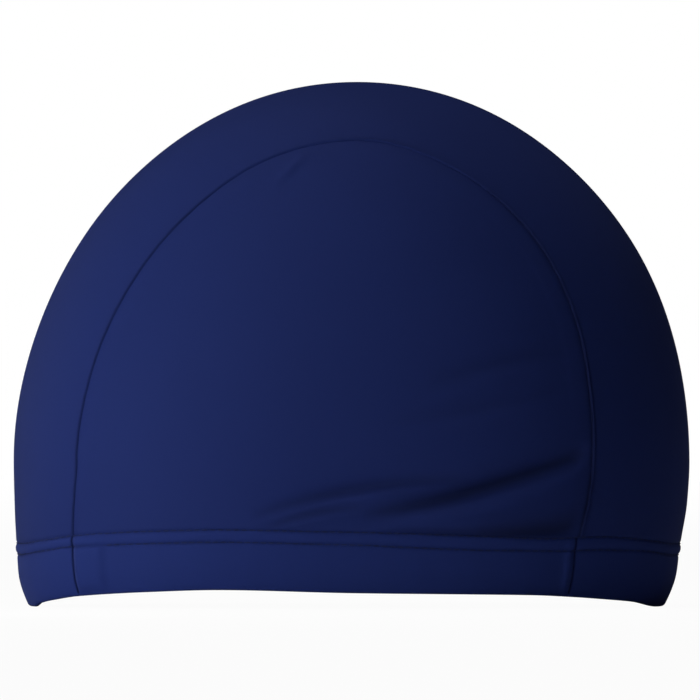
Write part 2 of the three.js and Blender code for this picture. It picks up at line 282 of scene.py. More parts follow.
def smooth_step(value: Array, low: float, high: float) -> Array:
    """An S-shaped rise.

    Args:
        value: what is compared with the two ends.
        low: where the rise starts.
        high: where it ends.

    Returns:
        0 below low, 1 above high, and a smooth rise between them.
    """
    s = np.clip((value - low) / (high - low), 0.0, 1.0)
    return s * s * (3 - 2 * s)


def bell(value: Array, width: float) -> Array:
    """A bell curve of height 1 round zero."""
    return np.exp(-((value / width) ** 2))


class Ripple(NamedTuple):
    """A wave along the cloth: its height, its length and its phase."""

    height: float
    length: float
    phase: float = 0.0

    def at(self, place: Array) -> Array:
        """The wave's height at distances along the cloth."""
        return self.height * np.sin(place * (2 * math.pi / self.length) + self.phase)


SEAM_PUCKERS = (Ripple(1.0, 9.3 * MM), Ripple(0.6, 6.1 * MM, 1.3))
GATHER, SMALL_GATHER = Ripple(1.0, 13.7 * MM, 0.4), Ripple(0.5, 7.9 * MM, 1.1)
GATHER_SWELL = Ripple(1.0, 61 * MM, 2.0)
HEM_PUCKERS = (Ripple(0.014 * MM, 10.3 * MM, 0.8), Ripple(0.010 * MM, 5.7 * MM))
HEM_SWING, HEM_SWELL = Ripple(0.07 * MM, 47 * MM, 0.5), Ripple(1.0, 29 * MM)
# How the painted shade in the rows of stitches waxes and wanes along the rim.
ROW_SHADE_RIPPLES = (Ripple(0.10, 37 * MM, 1.0), Ripple(0.08, 13 * MM))


def ripples(table: Sequence[Ripple], place: Array) -> Array:
    """The sum of a table's waves at distances along the cloth."""
    return sum(row.at(place) for row in table)


def travelled(points: Array, axis: int) -> Array:
    """The distance along each line of a grid of points.

    Args:
        points: the grid, with X, Y, Z on its last axis.
        axis: the axis that the lines run along.

    Returns:
        For each point, its distance from the start of its line.
    """
    steps = np.linalg.norm(np.diff(points, axis=axis), axis=-1)
    start = np.zeros_like(np.take(steps, [0], axis=axis))
    return np.cumsum(np.concatenate([start, steps], axis=axis), axis=axis)


@dataclass(frozen=True)
class CapForm:
    """The rounded form that the cloth follows: level sections below the widest level, a dome above it.

    A turn is an angle in degrees in the side view: 0 at the nape's widest level, 90 at the crown and 180 at
    the forehead's widest level. Down the walls it goes on by wall_turns to the hem's upper edge.

    Attributes:
        length: forehead to nape.
        height: rim to crown.
        breadth: side to side.
        widest_level: height of the widest level.
        crown_lean: how far the crown sits towards the nape.
        lean_level: share of the crown's height at which that lean is reached.
        long_power: roundness of the level sections along their length.
        broad_power: roundness of the level sections across their breadth.
        hem_height: usual height from the rim's edge to the upper row of stitches.
        hem_arch: how far the rim rises over the ears.
        wall_turns: turns from the widest level down to the hem.
    """

    length: float
    height: float
    breadth: float = 128 * MM
    widest_level: float = 47.6 * MM
    crown_lean: float = 1.4 * MM
    lean_level: float = 0.6
    long_power: float = 2.4
    broad_power: float = 2.2
    hem_height: float = 19.2 * MM
    hem_arch: float = 6 * MM
    wall_turns: float = 14.0

    @classmethod
    def from_frame(cls) -> "CapForm":
        """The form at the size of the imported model."""
        low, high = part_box("centre_panel")
        return cls(high[0] - low[0], high[2])

    @property
    def half_length(self) -> float:
        """Half the length."""
        return self.length / 2

    @property
    def half_breadth(self) -> float:
        """Half the breadth."""
        return self.breadth / 2

    @property
    def crown_height(self) -> float:
        """Height of the crown above the widest level."""
        return self.height - self.widest_level

    @property
    def turn_ends(self) -> tuple[float, float]:
        """The turns at the front and the back hem."""
        return 180 + self.wall_turns, -self.wall_turns

    def rim_edge(self, along: Array) -> Array:
        """Height of the rim's lower edge at a share of half the length."""
        return self.hem_arch * RIM_RISE(along)

    def hem_top(self, along: Array) -> Array:
        """Height of the upper row of stitches at a share of half the length."""
        return self.rim_edge(along) + self.hem_height * RIM_HEM(along)

    def reach(self, end: Array, z: Array) -> Array:
        """Half the length of the level section at a height.

        Args:
            end: negative towards the forehead, and otherwise towards the nape.
            z: the height.

        Returns:
            The distance from the middle to the skin at that end.
        """
        level = z / self.widest_level
        shares = np.where(end < 0, WALL_CURVES["front"](level), WALL_CURVES["back"](level))
        return self.half_length * shares

    def spread(self, z: Array) -> Array:
        """Half the breadth of the level section at a height, before the crown rounds it off."""
        return self.half_breadth * WALL_CURVES["breadth"](z / self.widest_level)

    def lean(self, z: Array) -> Array:
        """How far the section at a height is shifted towards the nape."""
        level = (z - self.widest_level) / self.crown_height
        return self.crown_lean * smooth_step(level, 0.0, self.lean_level)

    def outward(self, x: Array, z: Array) -> Array:
        """How far out a point of the side view lies: 0 in the middle, 1 on the outline."""
        on_wall = np.abs(x) / self.reach(x, z)
        rise = np.maximum(z - self.widest_level, 0.0) / self.crown_height
        on_dome = np.hypot((x - self.lean(z)) / self.half_length, rise)
        return np.where(z < self.widest_level, on_wall, on_dome)

    def depth(self, share: Array, z: Array) -> Array:
        """Distance of the skin from the middle plane, at a share of the way out and a height."""
        rest = np.maximum(1 - share**self.long_power, 0.0)
        return self.spread(z) * rest ** (1 / self.broad_power)

    def side_view(self, turn: Array, share: Array) -> tuple[Array, Array]:
        """The point of the side view at a turn and a share of the way out.

        Args:
            turn: the turn in degrees.
            share: 0 in the middle of the side, 1 on the outline.

        Returns:
            Its X and Z places.
        """
        angle = np.radians(np.clip(turn, 0.0, 180.0))
        dome_z = self.widest_level + share * self.crown_height * np.sin(angle)
        dome_x = share * self.half_length * np.cos(angle) + self.lean(dome_z)
        drop = np.maximum(-turn, turn - 180) / self.wall_turns
        end = np.where(turn > 90, -1.0, 1.0)
        foot = self.hem_top(end * share)
        wall_z = self.widest_level + (foot - self.widest_level) * drop
        wall_x = end * share * self.reach(end, wall_z)
        on_wall = drop > 0
        return np.where(on_wall, wall_x, dome_x), np.where(on_wall, wall_z, dome_z)

    def skin(self, turn: Array, share: Array, side: float) -> Array:
        """Points on the form at turns and shares, on the side whose sign is given."""
        x, z = self.side_view(turn, share)
        return np.stack([x, side * self.depth(share, z), z], axis=-1)

    def turn_at(self, x: Array, z: Array) -> Array:
        """The turn at a point of the side view."""
        rise = np.maximum(z - self.widest_level, 0.0) / self.crown_height
        on_dome = np.degrees(np.arctan2(rise, (x - self.lean(z)) / self.half_length))
        foot = self.hem_top(x / self.half_length)
        drop = self.wall_turns * (self.widest_level - z) / (self.widest_level - foot)
        on_wall = np.where(x < 0, 180 + drop, -drop)
        return np.where(z < self.widest_level, on_wall, on_dome)

    def normal(self, points: Array) -> Array:
        """Outward unit normals of the form. Below the widest level they stay level.

        Args:
            points: points on the form.

        Returns:
            The normals there.
        """
        step = 0.01 * MM

        def level(x: Array, y: Array, z: Array) -> Array:
            """How far out a point of space lies, 1 being on the skin."""
            side = (np.abs(y) / self.spread(z)) ** self.broad_power
            return self.outward(x, z) ** self.long_power + side

        x, y, z = points[..., 0], points[..., 1], points[..., 2]
        slopes = [
            level(x + step, y, z) - level(x - step, y, z),
            level(x, y + step, z) - level(x, y - step, z),
            np.where(z < self.widest_level, 0.0, level(x, y, z + step) - level(x, y, z - step)),
        ]
        return unit(np.stack(slopes, axis=-1))

    def seam_share(self, turn: Array) -> Array:
        """The side seam's share of the way out at a turn."""
        drop = np.maximum(-turn, turn - 180) / self.wall_turns
        hem_level = self.hem_height / self.widest_level
        level = 1 + (hem_level - 1) * drop
        front, back = WALL_CURVES["front_seam"](level), WALL_CURVES["back_seam"](level)
        return np.where(drop > 0, np.where(turn > 90, front, back), SEAM_CURVE(turn))


@dataclass(frozen=True)
class SeamLine:
    """The side seam as a line on the form, and distances from it along the cloth.

    Attributes:
        form: the form that it lies on.
        turns: turns of its points, rising.
        per_share: distance along the cloth, square to the seam, for each share of the way out.
        run: distance along the seam from its lower end at the nape.
    """

    form: CapForm
    turns: Array
    per_share: Array
    run: Array

    @classmethod
    def on(cls, form: CapForm, count: int = 600) -> "SeamLine":
        """Draws the seam on a form.

        Args:
            form: the form.
            count: how many points it is measured at.

        Returns:
            The seam.
        """
        front, back = form.turn_ends
        turns = np.linspace(back, front, count)
        share = form.seam_share(turns)
        line = form.skin(turns, share, 1.0)
        step = 1e-4
        outwards = (form.skin(turns, share + step, 1.0) - form.skin(turns, share - step, 1.0)) / (2 * step)
        heading = unit(np.gradient(line, axis=0))
        per_share = np.linalg.norm(np.cross(outwards, heading), axis=-1)
        return cls(form, turns, per_share, travelled(line, 0))

    def share(self, turn: Array, distance: float) -> Array:
        """The share at a distance outside the seam, or inside it where that is negative."""
        return self.form.seam_share(turn) + distance / np.interp(turn, self.turns, self.per_share)

    def distance(self, turn: Array, share: Array) -> Array:
        """The distance of a place inside the seam, negative outside it."""
        return (self.form.seam_share(turn) - share) * np.interp(turn, self.turns, self.per_share)

    def along(self, turn: Array) -> Array:
        """The distance along the seam at a turn."""
        return np.interp(turn, self.turns, self.run)


@dataclass(frozen=True)
class Cloth:
    """How the cloth is cut, turned and pressed at its seams and stitches.

    Attributes:
        thickness: one layer of knit.
        gap: what is left open between the rolled edges of a seam.
        roll: radius of the cloth where it turns in at a seam.
        turn_in: how far it goes straight in behind that roll.
        pull: how far the stitches of a seam draw the cloth down beside it.
        pull_width: how far that dip reaches.
        pucker: height of the small puckers along a seam.
        groove: depth of the line that a row of stitches presses in.
        groove_width: half the width of that line.
        gather: height of the small gathers above the hem.
        gather_height: how far up they fade.
        shade: how much darker the cloth's colour is painted in a seam, where that painted shade is strongest.
        line: how much darker its colour is painted beside the seam there, as shade.
        line_width: how far that painted shade reaches beside a seam.
    """

    thickness: float = 0.6 * MM
    gap: float = 0.16 * MM
    roll: float = 0.4 * MM
    turn_in: float = 1.3 * MM
    pull: float = 0.12 * MM
    pull_width: float = 2.2 * MM
    pucker: float = 0.05 * MM
    groove: float = 0.28 * MM
    groove_width: float = 0.55 * MM
    gather: float = 0.05 * MM
    gather_height: float = 6 * MM
    shade: float = 0.7
    line: float = 0.5
    line_width: float = 0.7 * MM

    @property
    def edge(self) -> float:
        """Distance from a seam at which the cloth starts to turn in."""
        return self.roll + self.gap / 2

    def roll_profile(self, steps: int = 6) -> list[tuple[float, float, float]]:
        """The turned-in edge as steps from the flat cloth: towards the seam, down, and share of the painted
        shade.
        """
        angles = [math.pi / 2 * (i + 1) / steps for i in range(steps)]
        waves = [(math.sin(a), math.cos(a)) for a in angles]
        curved = [(self.roll * sine, self.roll * (1 - cosine), self.shade * sine) for sine, cosine in waves]
        return [*curved, (self.roll, self.roll + self.turn_in, self.shade)]

    def beside_seam(self, distance: Array, along: Array) -> Array:
        """Relief of the cloth beside a seam.

        Args:
            distance: distance from the seam.
            along: distance along it.

        Returns:
            The height of the cloth, negative inwards.
        """
        fade = np.exp(-np.abs(distance) / self.pull_width)
        return fade * (self.pucker * ripples(SEAM_PUCKERS, along) - self.pull)

    def seam_light(self, distance: Array, edge_shade: Array) -> Array:
        """Share of the light left to the cloth beside a seam, as painted shade of a given strength."""
        return 1 - self.line * edge_shade**3 * bell(np.maximum(np.abs(distance) - self.edge, 0.0), self.line_width)

    def above_hem(self, height: Array, along: Array) -> Array:
        """Relief of the cloth above the upper row of stitches.

        Args:
            height: height above that row.
            along: distance along the rim.

        Returns:
            The height of the cloth, negative inwards.
        """
        ripple = GATHER.at(along) * GATHER_SWELL.at(along) + SMALL_GATHER.at(along)
        fade = np.exp(-np.abs(height) / self.gather_height)
        return self.gather * fade * ripple - self.groove * bell(height, self.groove_width)


class SlackWave(NamedTuple):
    """A broad wave of a panel: its height, its lengths along and across the panel, and its phase."""

    height: float
    along: float
    across: float
    phase: float


SLACK_WAVES = (
    SlackWave(0.10 * MM, 170 * MM, -47 * MM, 0.3),
    SlackWave(0.06 * MM, 210 * MM, -29 * MM, 1.9),
    SlackWave(0.05 * MM, 61 * MM, 83 * MM, 4.1),
)
SLACK_PHASES = {"left": -0.7, "right": 0.7, "centre": 2.2}


def slack_waves(x: Array, z: Array, phase: float) -> Array:
    """Broad, shallow waves of cloth that isn't stretched.

    Args:
        x: X places in the side view, or distances along the cloth.
        z: Z places, or distances across it.
        phase: what sets one panel's waves apart from another's.

    Returns:
        The height of the cloth.
    """
    total = np.zeros_like(x)
    for wave in SLACK_WAVES:
        turn = 2 * math.pi * (x / wave.along + z / wave.across)
        total = total + wave.height * np.sin(turn + wave.phase + phase)
    return total


LOBE_OFFSET = 1.7  # how far below a crease its swelling lies, in spreads


def crease_relief(form: CapForm, creases: Sequence[Crease], x: Array, z: Array) -> tuple[Array, Array]:
    """Relief and painted shade that creases give a panel.

    Args:
        form: the form that the shares are of.
        creases: the creases.
        x: X places in the side view.
        z: Z places.

    Returns:
        The height of the cloth, negative inwards, and the share of the light that it keeps, painted as shade.
    """
    total, light = np.zeros_like(x), np.ones_like(x)
    for crease in creases:
        start, end = crease.from_x * form.half_length, crease.to_x * form.half_length
        t = np.clip((x - start) / (end - start), 0.0, 1.0)
        rest = 1 - t
        route = form.height * (rest**2 * crease.from_z + 2 * rest * t * crease.bend_z + t**2 * crease.to_z)
        steps = rest * (crease.bend_z - crease.from_z) + t * (crease.to_z - crease.bend_z)
        slope = 2 * form.height * steps / (end - start)
        above = (z - route) / np.hypot(1.0, slope)
        spread = crease.spread * form.height
        profile = crease.lobe * bell(above + LOBE_OFFSET * spread, spread) - bell(above, spread)
        strength = np.sin(math.pi * t)
        total = total + crease.depth * form.half_breadth * strength * profile
        light = light * (1 - crease.shade * np.sqrt(strength) * bell(above, spread))
    return total, light


def deselect() -> None:
    """Leaves no object selected."""
    for other in bpy.context.selected_objects:
        other.select_set(False)


def select_only(piece: bpy.types.Object) -> None:
    """Makes one object the only selected and active one."""
    deselect()
    piece.select_set(True)
    bpy.context.view_layer.objects.active = piece


def new_piece(name: str, points: Array, faces: Sequence[Sequence[int]]) -> bpy.types.Object:
    """Makes and links an object.

    Args:
        name: its name.
        points: an array whose last axis is X, Y, Z.
        faces: corner numbers of its faces.

    Returns:
        The object.
    """
    mesh = bpy.data.meshes.new(name)
    mesh.from_pydata(points.reshape(-1, 3).tolist(), [], faces)
    piece = bpy.data.objects.new(name, mesh)
    bpy.context.collection.objects.link(piece)
    return piece


def smooth(piece: bpy.types.Object) -> bpy.types.Object:
    """Shades a piece smooth all over and gives it back."""
    select_only(piece)
    bpy.ops.object.shade_smooth()
    return piece


@dataclass
class ClothMesh:
    """A sheet of cloth in the making: points with their places on the cloth, joined by four-sided faces.

    Attributes:
        points: blocks of points.
        weave: for each block, the places on the flat cloth, in metres.
        painted_light: for each block, how light the cloth's colour is kept, from 0 to 1 where no shade is
            painted.
        faces: blocks of faces, as four corner numbers each.
        count: how many points there are.
    """

    points: list[Array] = field(default_factory=list)
    weave: list[Array] = field(default_factory=list)
    painted_light: list[Array] = field(default_factory=list)
    faces: list[Array] = field(default_factory=list)
    count: int = 0

    def place(self, points: Array, weave: Array, painted_light: Array | float = 1.0) -> Array:
        """Adds points without faces.

        Args:
            points: an array whose last axis is X, Y, Z.
            weave: their places on the flat cloth.
            painted_light: how light the cloth's colour is kept there, as painted shade.

        Returns:
            Their numbers, in the array's shape.
        """
        shape = points.shape[:-1]
        numbers = self.count + np.arange(int(np.prod(shape))).reshape(shape)
        self.points.append(points.reshape(-1, 3))
        self.weave.append(weave.reshape(-1, 2))
        self.painted_light.append(np.broadcast_to(painted_light, shape).reshape(-1))
        self.count += numbers.size
        return numbers

    def turned_in(self, edge: Array, form: CapForm, cloth: Cloth, edge_shade: Array, side: int) -> Array:
        """Carries the cloth of the first block round into a seam, without faces.

        Args:
            edge: numbers of the points along the block's edge.
            form: the form that the cloth lies on.
            cloth: how it is turned in.
            edge_shade: how strong the painted shade in the seam is at these points.
            side: 1 where the seam lies to the right of the edge's heading, or else -1.

        Returns:
            The numbers of the points, line by line from the edge inwards.
        """
        border, weave, light = self.points[0][edge], self.weave[0][edge], self.painted_light[0][edge]
        normal = form.normal(border)
        outwards = unit(np.cross(unit(np.gradient(border, axis=0)), normal)) * side
        lines = [edge]
        for towards, down, shade in cloth.roll_profile():
            moved = border + outwards * towards - normal * down
            lines.append(self.place(moved, weave + down, light * (1 - shade * edge_shade)))
        return np.stack(lines)

    def join(self, numbers: Array) -> None:
        """Fills a grid of point numbers with faces."""
        a, b = numbers[:-1, :-1], numbers[:-1, 1:]
        c, d = numbers[1:, 1:], numbers[1:, :-1]
        self.faces.append(np.stack([a, b, c, d], axis=-1).reshape(-1, 4))

    def build(self, name: str, flip: bool) -> bpy.types.Object:
        """Makes the object.

        Args:
            name: the piece's name.
            flip: whether the faces are turned over, so that they point to the cloth's right side.

        Returns:
            The open sheet.
        """
        points, weave = np.concatenate(self.points), np.concatenate(self.weave)
        faces = np.concatenate(self.faces)
        if flip:
            faces = faces[:, ::-1]
        piece = new_piece(name, points, faces.tolist())
        layer = piece.data.uv_layers.new(name="weave")
        layer.data.foreach_set("uv", weave[faces.reshape(-1)].astype(np.float32).ravel())
        # The painted shade is kept as a point attribute that darkens the knit's colour.
        painted_light = piece.data.attributes.new("painted_light", "FLOAT", "POINT")
        painted_light.data.foreach_set("value", np.concatenate(self.painted_light).astype(np.float32))
        return piece


def thicken(piece: bpy.types.Object, thickness: float) -> None:
    """Gives an open sheet its wall, on the side that its faces point away from.

    Args:
        piece: the sheet.
        thickness: the wall.
    """
    select_only(piece)
    wall = piece.modifiers.new("wall", "SOLIDIFY")
    wall.thickness = thickness
    wall.offset = -1.0
    wall.use_even_offset = False
    wall.use_quality_normals = True
    bpy.ops.object.modifier_apply(modifier=wall.name)
    bpy.ops.object.shade_smooth_by_angle(angle=math.radians(60))


def dress(piece: bpy.types.Object, material: bpy.types.Material, slot: str, *nodes: str) -> None:
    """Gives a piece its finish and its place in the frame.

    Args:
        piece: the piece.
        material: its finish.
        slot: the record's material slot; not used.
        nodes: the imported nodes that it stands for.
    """
    piece.data.materials.clear()
    piece.data.materials.append(material)
    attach(piece, BODY)
    if nodes:
        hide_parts(*nodes)
    LOG.info("%s: %d faces", piece.name, len(piece.data.polygons))


def graded(length: float, pitch: float, fine: Sequence[float], both_ends: bool) -> Array:
    """Shares of a length at which rows of points stand, close together at its ends.

    Args:
        length: the length.
        pitch: the usual distance between rows.
        fine: distances of the first rows from an end.
        both_ends: whether the far end is fine too.

    Returns:
        The shares, from 0 to 1.
    """
    start = [0.0, *fine]
    end = [length - x for x in reversed(start)] if both_ends else [length]
    count = max(2, round((end[0] - start[-1]) / pitch))
    middle = np.linspace(start[-1], end[0], count + 1)[1:-1]
    return np.concatenate([start, middle, end]) / length


@dataclass(frozen=True)
class Fades:
    """Distances over which a panel's relief and shade grow to their full strength.

    Attributes:
        side_folds: from the seam, for the side panel's folds.
        side_shade: from the seam, for the painted shade in them.
        side_slack: from the seam, for the side panel's broad waves.
        fold_rise: above the hem, for the side panel's folds.
        slack_rise: above the hem, for the broad waves.
        centre_folds: from the seam, for the centre panel's folds.
        centre_slack: from the seam, for its broad waves.
        allowance: height of the ridge over the seam's turned-in edges.
        allowance_start: from the seam, for the ridge's near slope.
        allowance_end: from the seam, counted backwards, for its far slope.
    """

    side_folds: tuple[float, float] = (0.0, 7 * MM)
    side_shade: tuple[float, float] = (0.0, 6 * MM)
    side_slack: tuple[float, float] = (0.0, 11 * MM)
    fold_rise: tuple[float, float] = (0.0, 2.2 * MM)
    slack_rise: tuple[float, float] = (0.5 * MM, 9 * MM)
    centre_folds: tuple[float, float] = (0.0, 3 * MM)
    centre_slack: tuple[float, float] = (0.0, 12 * MM)
    allowance: float = 0.1 * MM
    allowance_start: tuple[float, float] = (0.8 * MM, 2.4 * MM)
    allowance_end: tuple[float, float] = (-8 * MM, -6 * MM)


FADES = Fades()
ROW_STEPS = tuple(MM * x for x in (0.12, 0.25, 0.4, 0.58, 0.8, 1.1, 1.5, 2.1, 2.9))  # from an end inwards


@dataclass(frozen=True)
class PanelSizes:
    """How finely the panels are modelled.

    Attributes:
        pitch: usual distance between points.
        across: usual width of the centre panel.
        per_turn: cloth along the outline for each degree of turn.
        side_width: usual width of a side panel as a share of the cap's length.
    """

    pitch: float = 1.05 * MM
    across: float = 84 * MM
    per_turn: float = 2.05 * MM
    side_width: float = 0.76


@dataclass
class SidePanel:
    """A D-shaped side panel, from the hem up to the seam that goes round its other three sides.

    Attributes:
        form: the cap's form.
        seam: the side seam.
        cloth: how the cloth is cut and turned.
        side: which side it closes.
        cut: width and length of the flat panel.
        cut_area: area of the flat panel.
        sizes: how finely it is modelled.
        corner: turn from the outline's ends at which the panel's sides meet its top.
    """

    form: CapForm
    seam: SeamLine
    cloth: Cloth
    side: Side
    cut: tuple[float, float] = (176 * MM, 132 * MM)
    cut_area: float = 0.0193
    sizes: PanelSizes = PanelSizes()
    corner: float = 45.0

    def relief(self, x: Array, z: Array) -> Array:
        """Height of the cloth over the form at points of the side view."""
        form = self.form
        turn, share = form.turn_at(x, z), form.outward(x, z)
        distance = self.seam.distance(turn, share)
        above = z - form.hem_top(x / form.half_length)
        folds, _ = crease_relief(form, SIDE_CREASES[self.side], x, z)
        folds = folds * smooth_step(distance, *FADES.side_folds) * smooth_step(above, *FADES.fold_rise)
        slack = slack_waves(x, z, SLACK_PHASES[self.side.word])
        slack = slack * smooth_step(distance, *FADES.side_slack) * smooth_step(above, *FADES.slack_rise)
        beside = self.cloth.beside_seam(distance, self.seam.along(turn))
        allowance = FADES.allowance * smooth_step(distance, *FADES.allowance_start)
        allowance = allowance * smooth_step(-distance, *FADES.allowance_end)
        return slack + folds + beside + allowance + self.cloth.above_hem(above, x)

    def light(self, x: Array, z: Array) -> Array:
        """Share of the light that the folds and the seam leave to the cloth at points of the side view,
        painted into its colour as shade.
        """
        form = self.form
        _, light = crease_relief(form, SIDE_CREASES[self.side], x, z)
        turn = form.turn_at(x, z)
        distance = self.seam.distance(turn, form.outward(x, z))
        folds = 1 - (1 - light) * smooth_step(distance, *FADES.side_shade)
        return folds * self.cloth.seam_light(distance, INNER_EDGE_SHADE(turn))

    def raised(self, x: Array, z: Array, under: float = 0.0) -> Array:
        """Points of the cloth's right side, or at a depth under it.

        Args:
            x: X places in the side view.
            z: Z places.
            under: the depth.

        Returns:
            The points.
        """
        form = self.form
        depth = form.depth(form.outward(x, z), z)
        skin = np.stack([x, self.side.value * depth, z], axis=-1)
        height = self.relief(x, z) - under
        return skin + form.normal(skin) * height[..., None]

    def side_grid(self) -> tuple[Array, Array]:
        """X and Z places of the panel's points, row by row from the hem, in a blend of its four borders."""
        form, seam, edge = self.form, self.seam, self.cloth.edge
        front, back = form.turn_ends
        climb = self.corner + form.wall_turns
        v = graded(climb * self.sizes.per_turn, self.sizes.pitch, ROW_STEPS, both_ends=False)
        width = form.length * self.sizes.side_width
        u = np.linspace(0.0, 1.0, round(width / self.sizes.pitch) + 1)

        def border(turns: Array) -> Array:
            """Places just inside the seam."""
            return np.stack(form.side_view(turns, seam.share(turns, -edge)), axis=-1)

        left = border(front - climb * v)
        right = border(back + climb * v)
        top = border(180 - self.corner - (180 - 2 * self.corner) * u)
        x = left[0, 0] + (right[0, 0] - left[0, 0]) * u
        bottom = np.stack([x, form.hem_top(x / form.reach(x, form.hem_height))], axis=-1)
        u, v = u[None, :, None], v[:, None, None]
        upwards = (1 - v) * bottom[None] + v * top[None]
        sideways = (1 - u) * left[:, None] + u * right[:, None]
        corners = (1 - u) * ((1 - v) * left[0] + v * left[-1]) + u * ((1 - v) * right[0] + v * right[-1])
        places = upwards + sideways - corners
        return places[..., 0], places[..., 1]

    def build(self, material: bpy.types.Material) -> bpy.types.Object:
        """Models and dresses the panel.

        Args:
            material: its knit.

        Returns:
            The piece.
        """
        x, z = self.side_grid()
        points = self.raised(x, z)
        rows, columns = x.shape
        middle = columns // 2
        across = travelled(points, 1)
        weave = np.stack([across - across[:, middle : middle + 1], travelled(points, 0)], axis=-1)
        sheet = ClothMesh()
        numbers = sheet.place(points, weave, self.light(x, z))
        sheet.join(numbers)
        edge = (
            [*range(rows), *[rows - 1] * (columns - 2), *reversed(range(rows))],
            [*[0] * rows, *range(1, columns - 1), *[columns - 1] * rows],
        )
        # How strong the painted shade is in the seam along the panel's edge.
        edge_shade = INNER_EDGE_SHADE(self.form.turn_at(x, z))[edge]
        sheet.join(sheet.turned_in(numbers[edge], self.form, self.cloth, edge_shade, self.side.value))
        piece = sheet.build(f"{self.side.word}_panel_knit", flip=self.side is Side.RIGHT)
        thicken(piece, self.cloth.thickness)
        dress(piece, material, "panel_cloth", f"{self.side.word}_panel")
        return piece


@dataclass
class CentrePanel:
    """The strip from the forehead over the crown to the nape, with a side seam along each long edge.

    Attributes:
        form: the cap's form.
        seam: the side seam.
        cloth: how the cloth is cut and turned.
        cut: width and length of the flat strip.
        cut_area: area of the flat strip.
        sizes: how finely it is modelled.
    """

    form: CapForm
    seam: SeamLine
    cloth: Cloth
    cut: tuple[float, float] = (114 * MM, 441 * MM)
    cut_area: float = 0.0408
    sizes: PanelSizes = PanelSizes()

    def relief(self, turn: Array, share: Array, skin: Array) -> Array:
        """Height of the cloth over the form.

        Args:
            turn: turns of the points.
            share: their shares of the way out.
            skin: the points on the form.

        Returns:
            The height, negative inwards.
        """
        form = self.form
        x, y, z = skin[..., 0], skin[..., 1], skin[..., 2]
        distance = -self.seam.distance(turn, share)
        along = self.seam.along(turn)
        above = z - form.hem_top(x / form.half_length)
        left, right = (crease_relief(form, CENTRE_CREASES[side], x, z)[0] for side in Side)
        creases = np.where(y < 0, left, right) * smooth_step(distance, *FADES.centre_folds)
        slack = slack_waves(along, y, SLACK_PHASES["centre"]) * smooth_step(distance, *FADES.centre_slack)
        slack = (slack + creases) * smooth_step(above, *FADES.slack_rise)
        return slack + self.cloth.beside_seam(distance, along) + self.cloth.above_hem(above, y)

    def build(self, material: bpy.types.Material) -> bpy.types.Object:
        """Models and dresses the strip.

        Args:
            material: its knit.

        Returns:
            The piece.
        """
        form = self.form
        front, back = form.turn_ends
        climb = graded((front - back) * self.sizes.per_turn, self.sizes.pitch, ROW_STEPS, both_ends=True)
        turn = (back + (front - back) * climb)[:, None]
        across = graded(self.sizes.across, self.sizes.pitch, ROW_STEPS, both_ends=True) * 2 - 1
        edge_share = self.seam.share(turn, self.cloth.edge)
        angle = across[None, :] * np.arccos(edge_share ** (form.long_power / 2))
        share = np.cos(angle) ** (2 / form.long_power)
        x, z = form.side_view(turn, share)
        y = form.spread(z) * np.sign(angle) * np.abs(np.sin(angle)) ** (2 / form.broad_power)
        skin = np.stack([x, y, z], axis=-1)
        turns = np.broadcast_to(turn, share.shape)
        points = skin + form.normal(skin) * self.relief(turns, share, skin)[..., None]
        columns = share.shape[1]
        middle = columns // 2
        width = travelled(points, 1)
        length = np.broadcast_to(travelled(points, 0)[:, middle : middle + 1], share.shape)
        weave = np.stack([width - width[:, middle : middle + 1], length], axis=-1)
        # Painted shade in and beside the seams along the strip's edges.
        edge_shade = OUTER_EDGE_SHADE(turns)
        light = self.cloth.seam_light(self.seam.distance(turns, share), edge_shade)
        sheet = ClothMesh()
        numbers = sheet.place(points, weave, light)
        sheet.join(numbers)
        for column, side in ((0, -1), (columns - 1, 1)):
            lines = sheet.turned_in(numbers[:, column], form, self.cloth, edge_shade[:, column], side)
            sheet.join(lines[::side])
        piece = sheet.build("centre_panel_knit", flip=False)
        thicken(piece, self.cloth.thickness)
        dress(piece, material, "panel_cloth", "centre_panel")
        return piece


class RowLevel(NamedTuple):
    """Height of the lower row of stitches above the rim's edge, at a share of half the length."""

    along: float
    height: float


LOWER_ROW = (
    RowLevel(-1.00, 17.0 * MM),
    RowLevel(-0.83, 16.0 * MM),
    RowLevel(-0.45, 15.5 * MM),
    RowLevel(0.00, 15.6 * MM),
    RowLevel(0.17, 15.0 * MM),
    RowLevel(0.40, 14.3 * MM),
    RowLevel(0.60, 14.4 * MM),
    RowLevel(0.75, 15.6 * MM),
    RowLevel(1.00, 16.8 * MM),
)
LOWER_CURVE = Curve.through(LOWER_ROW, "along", "height")


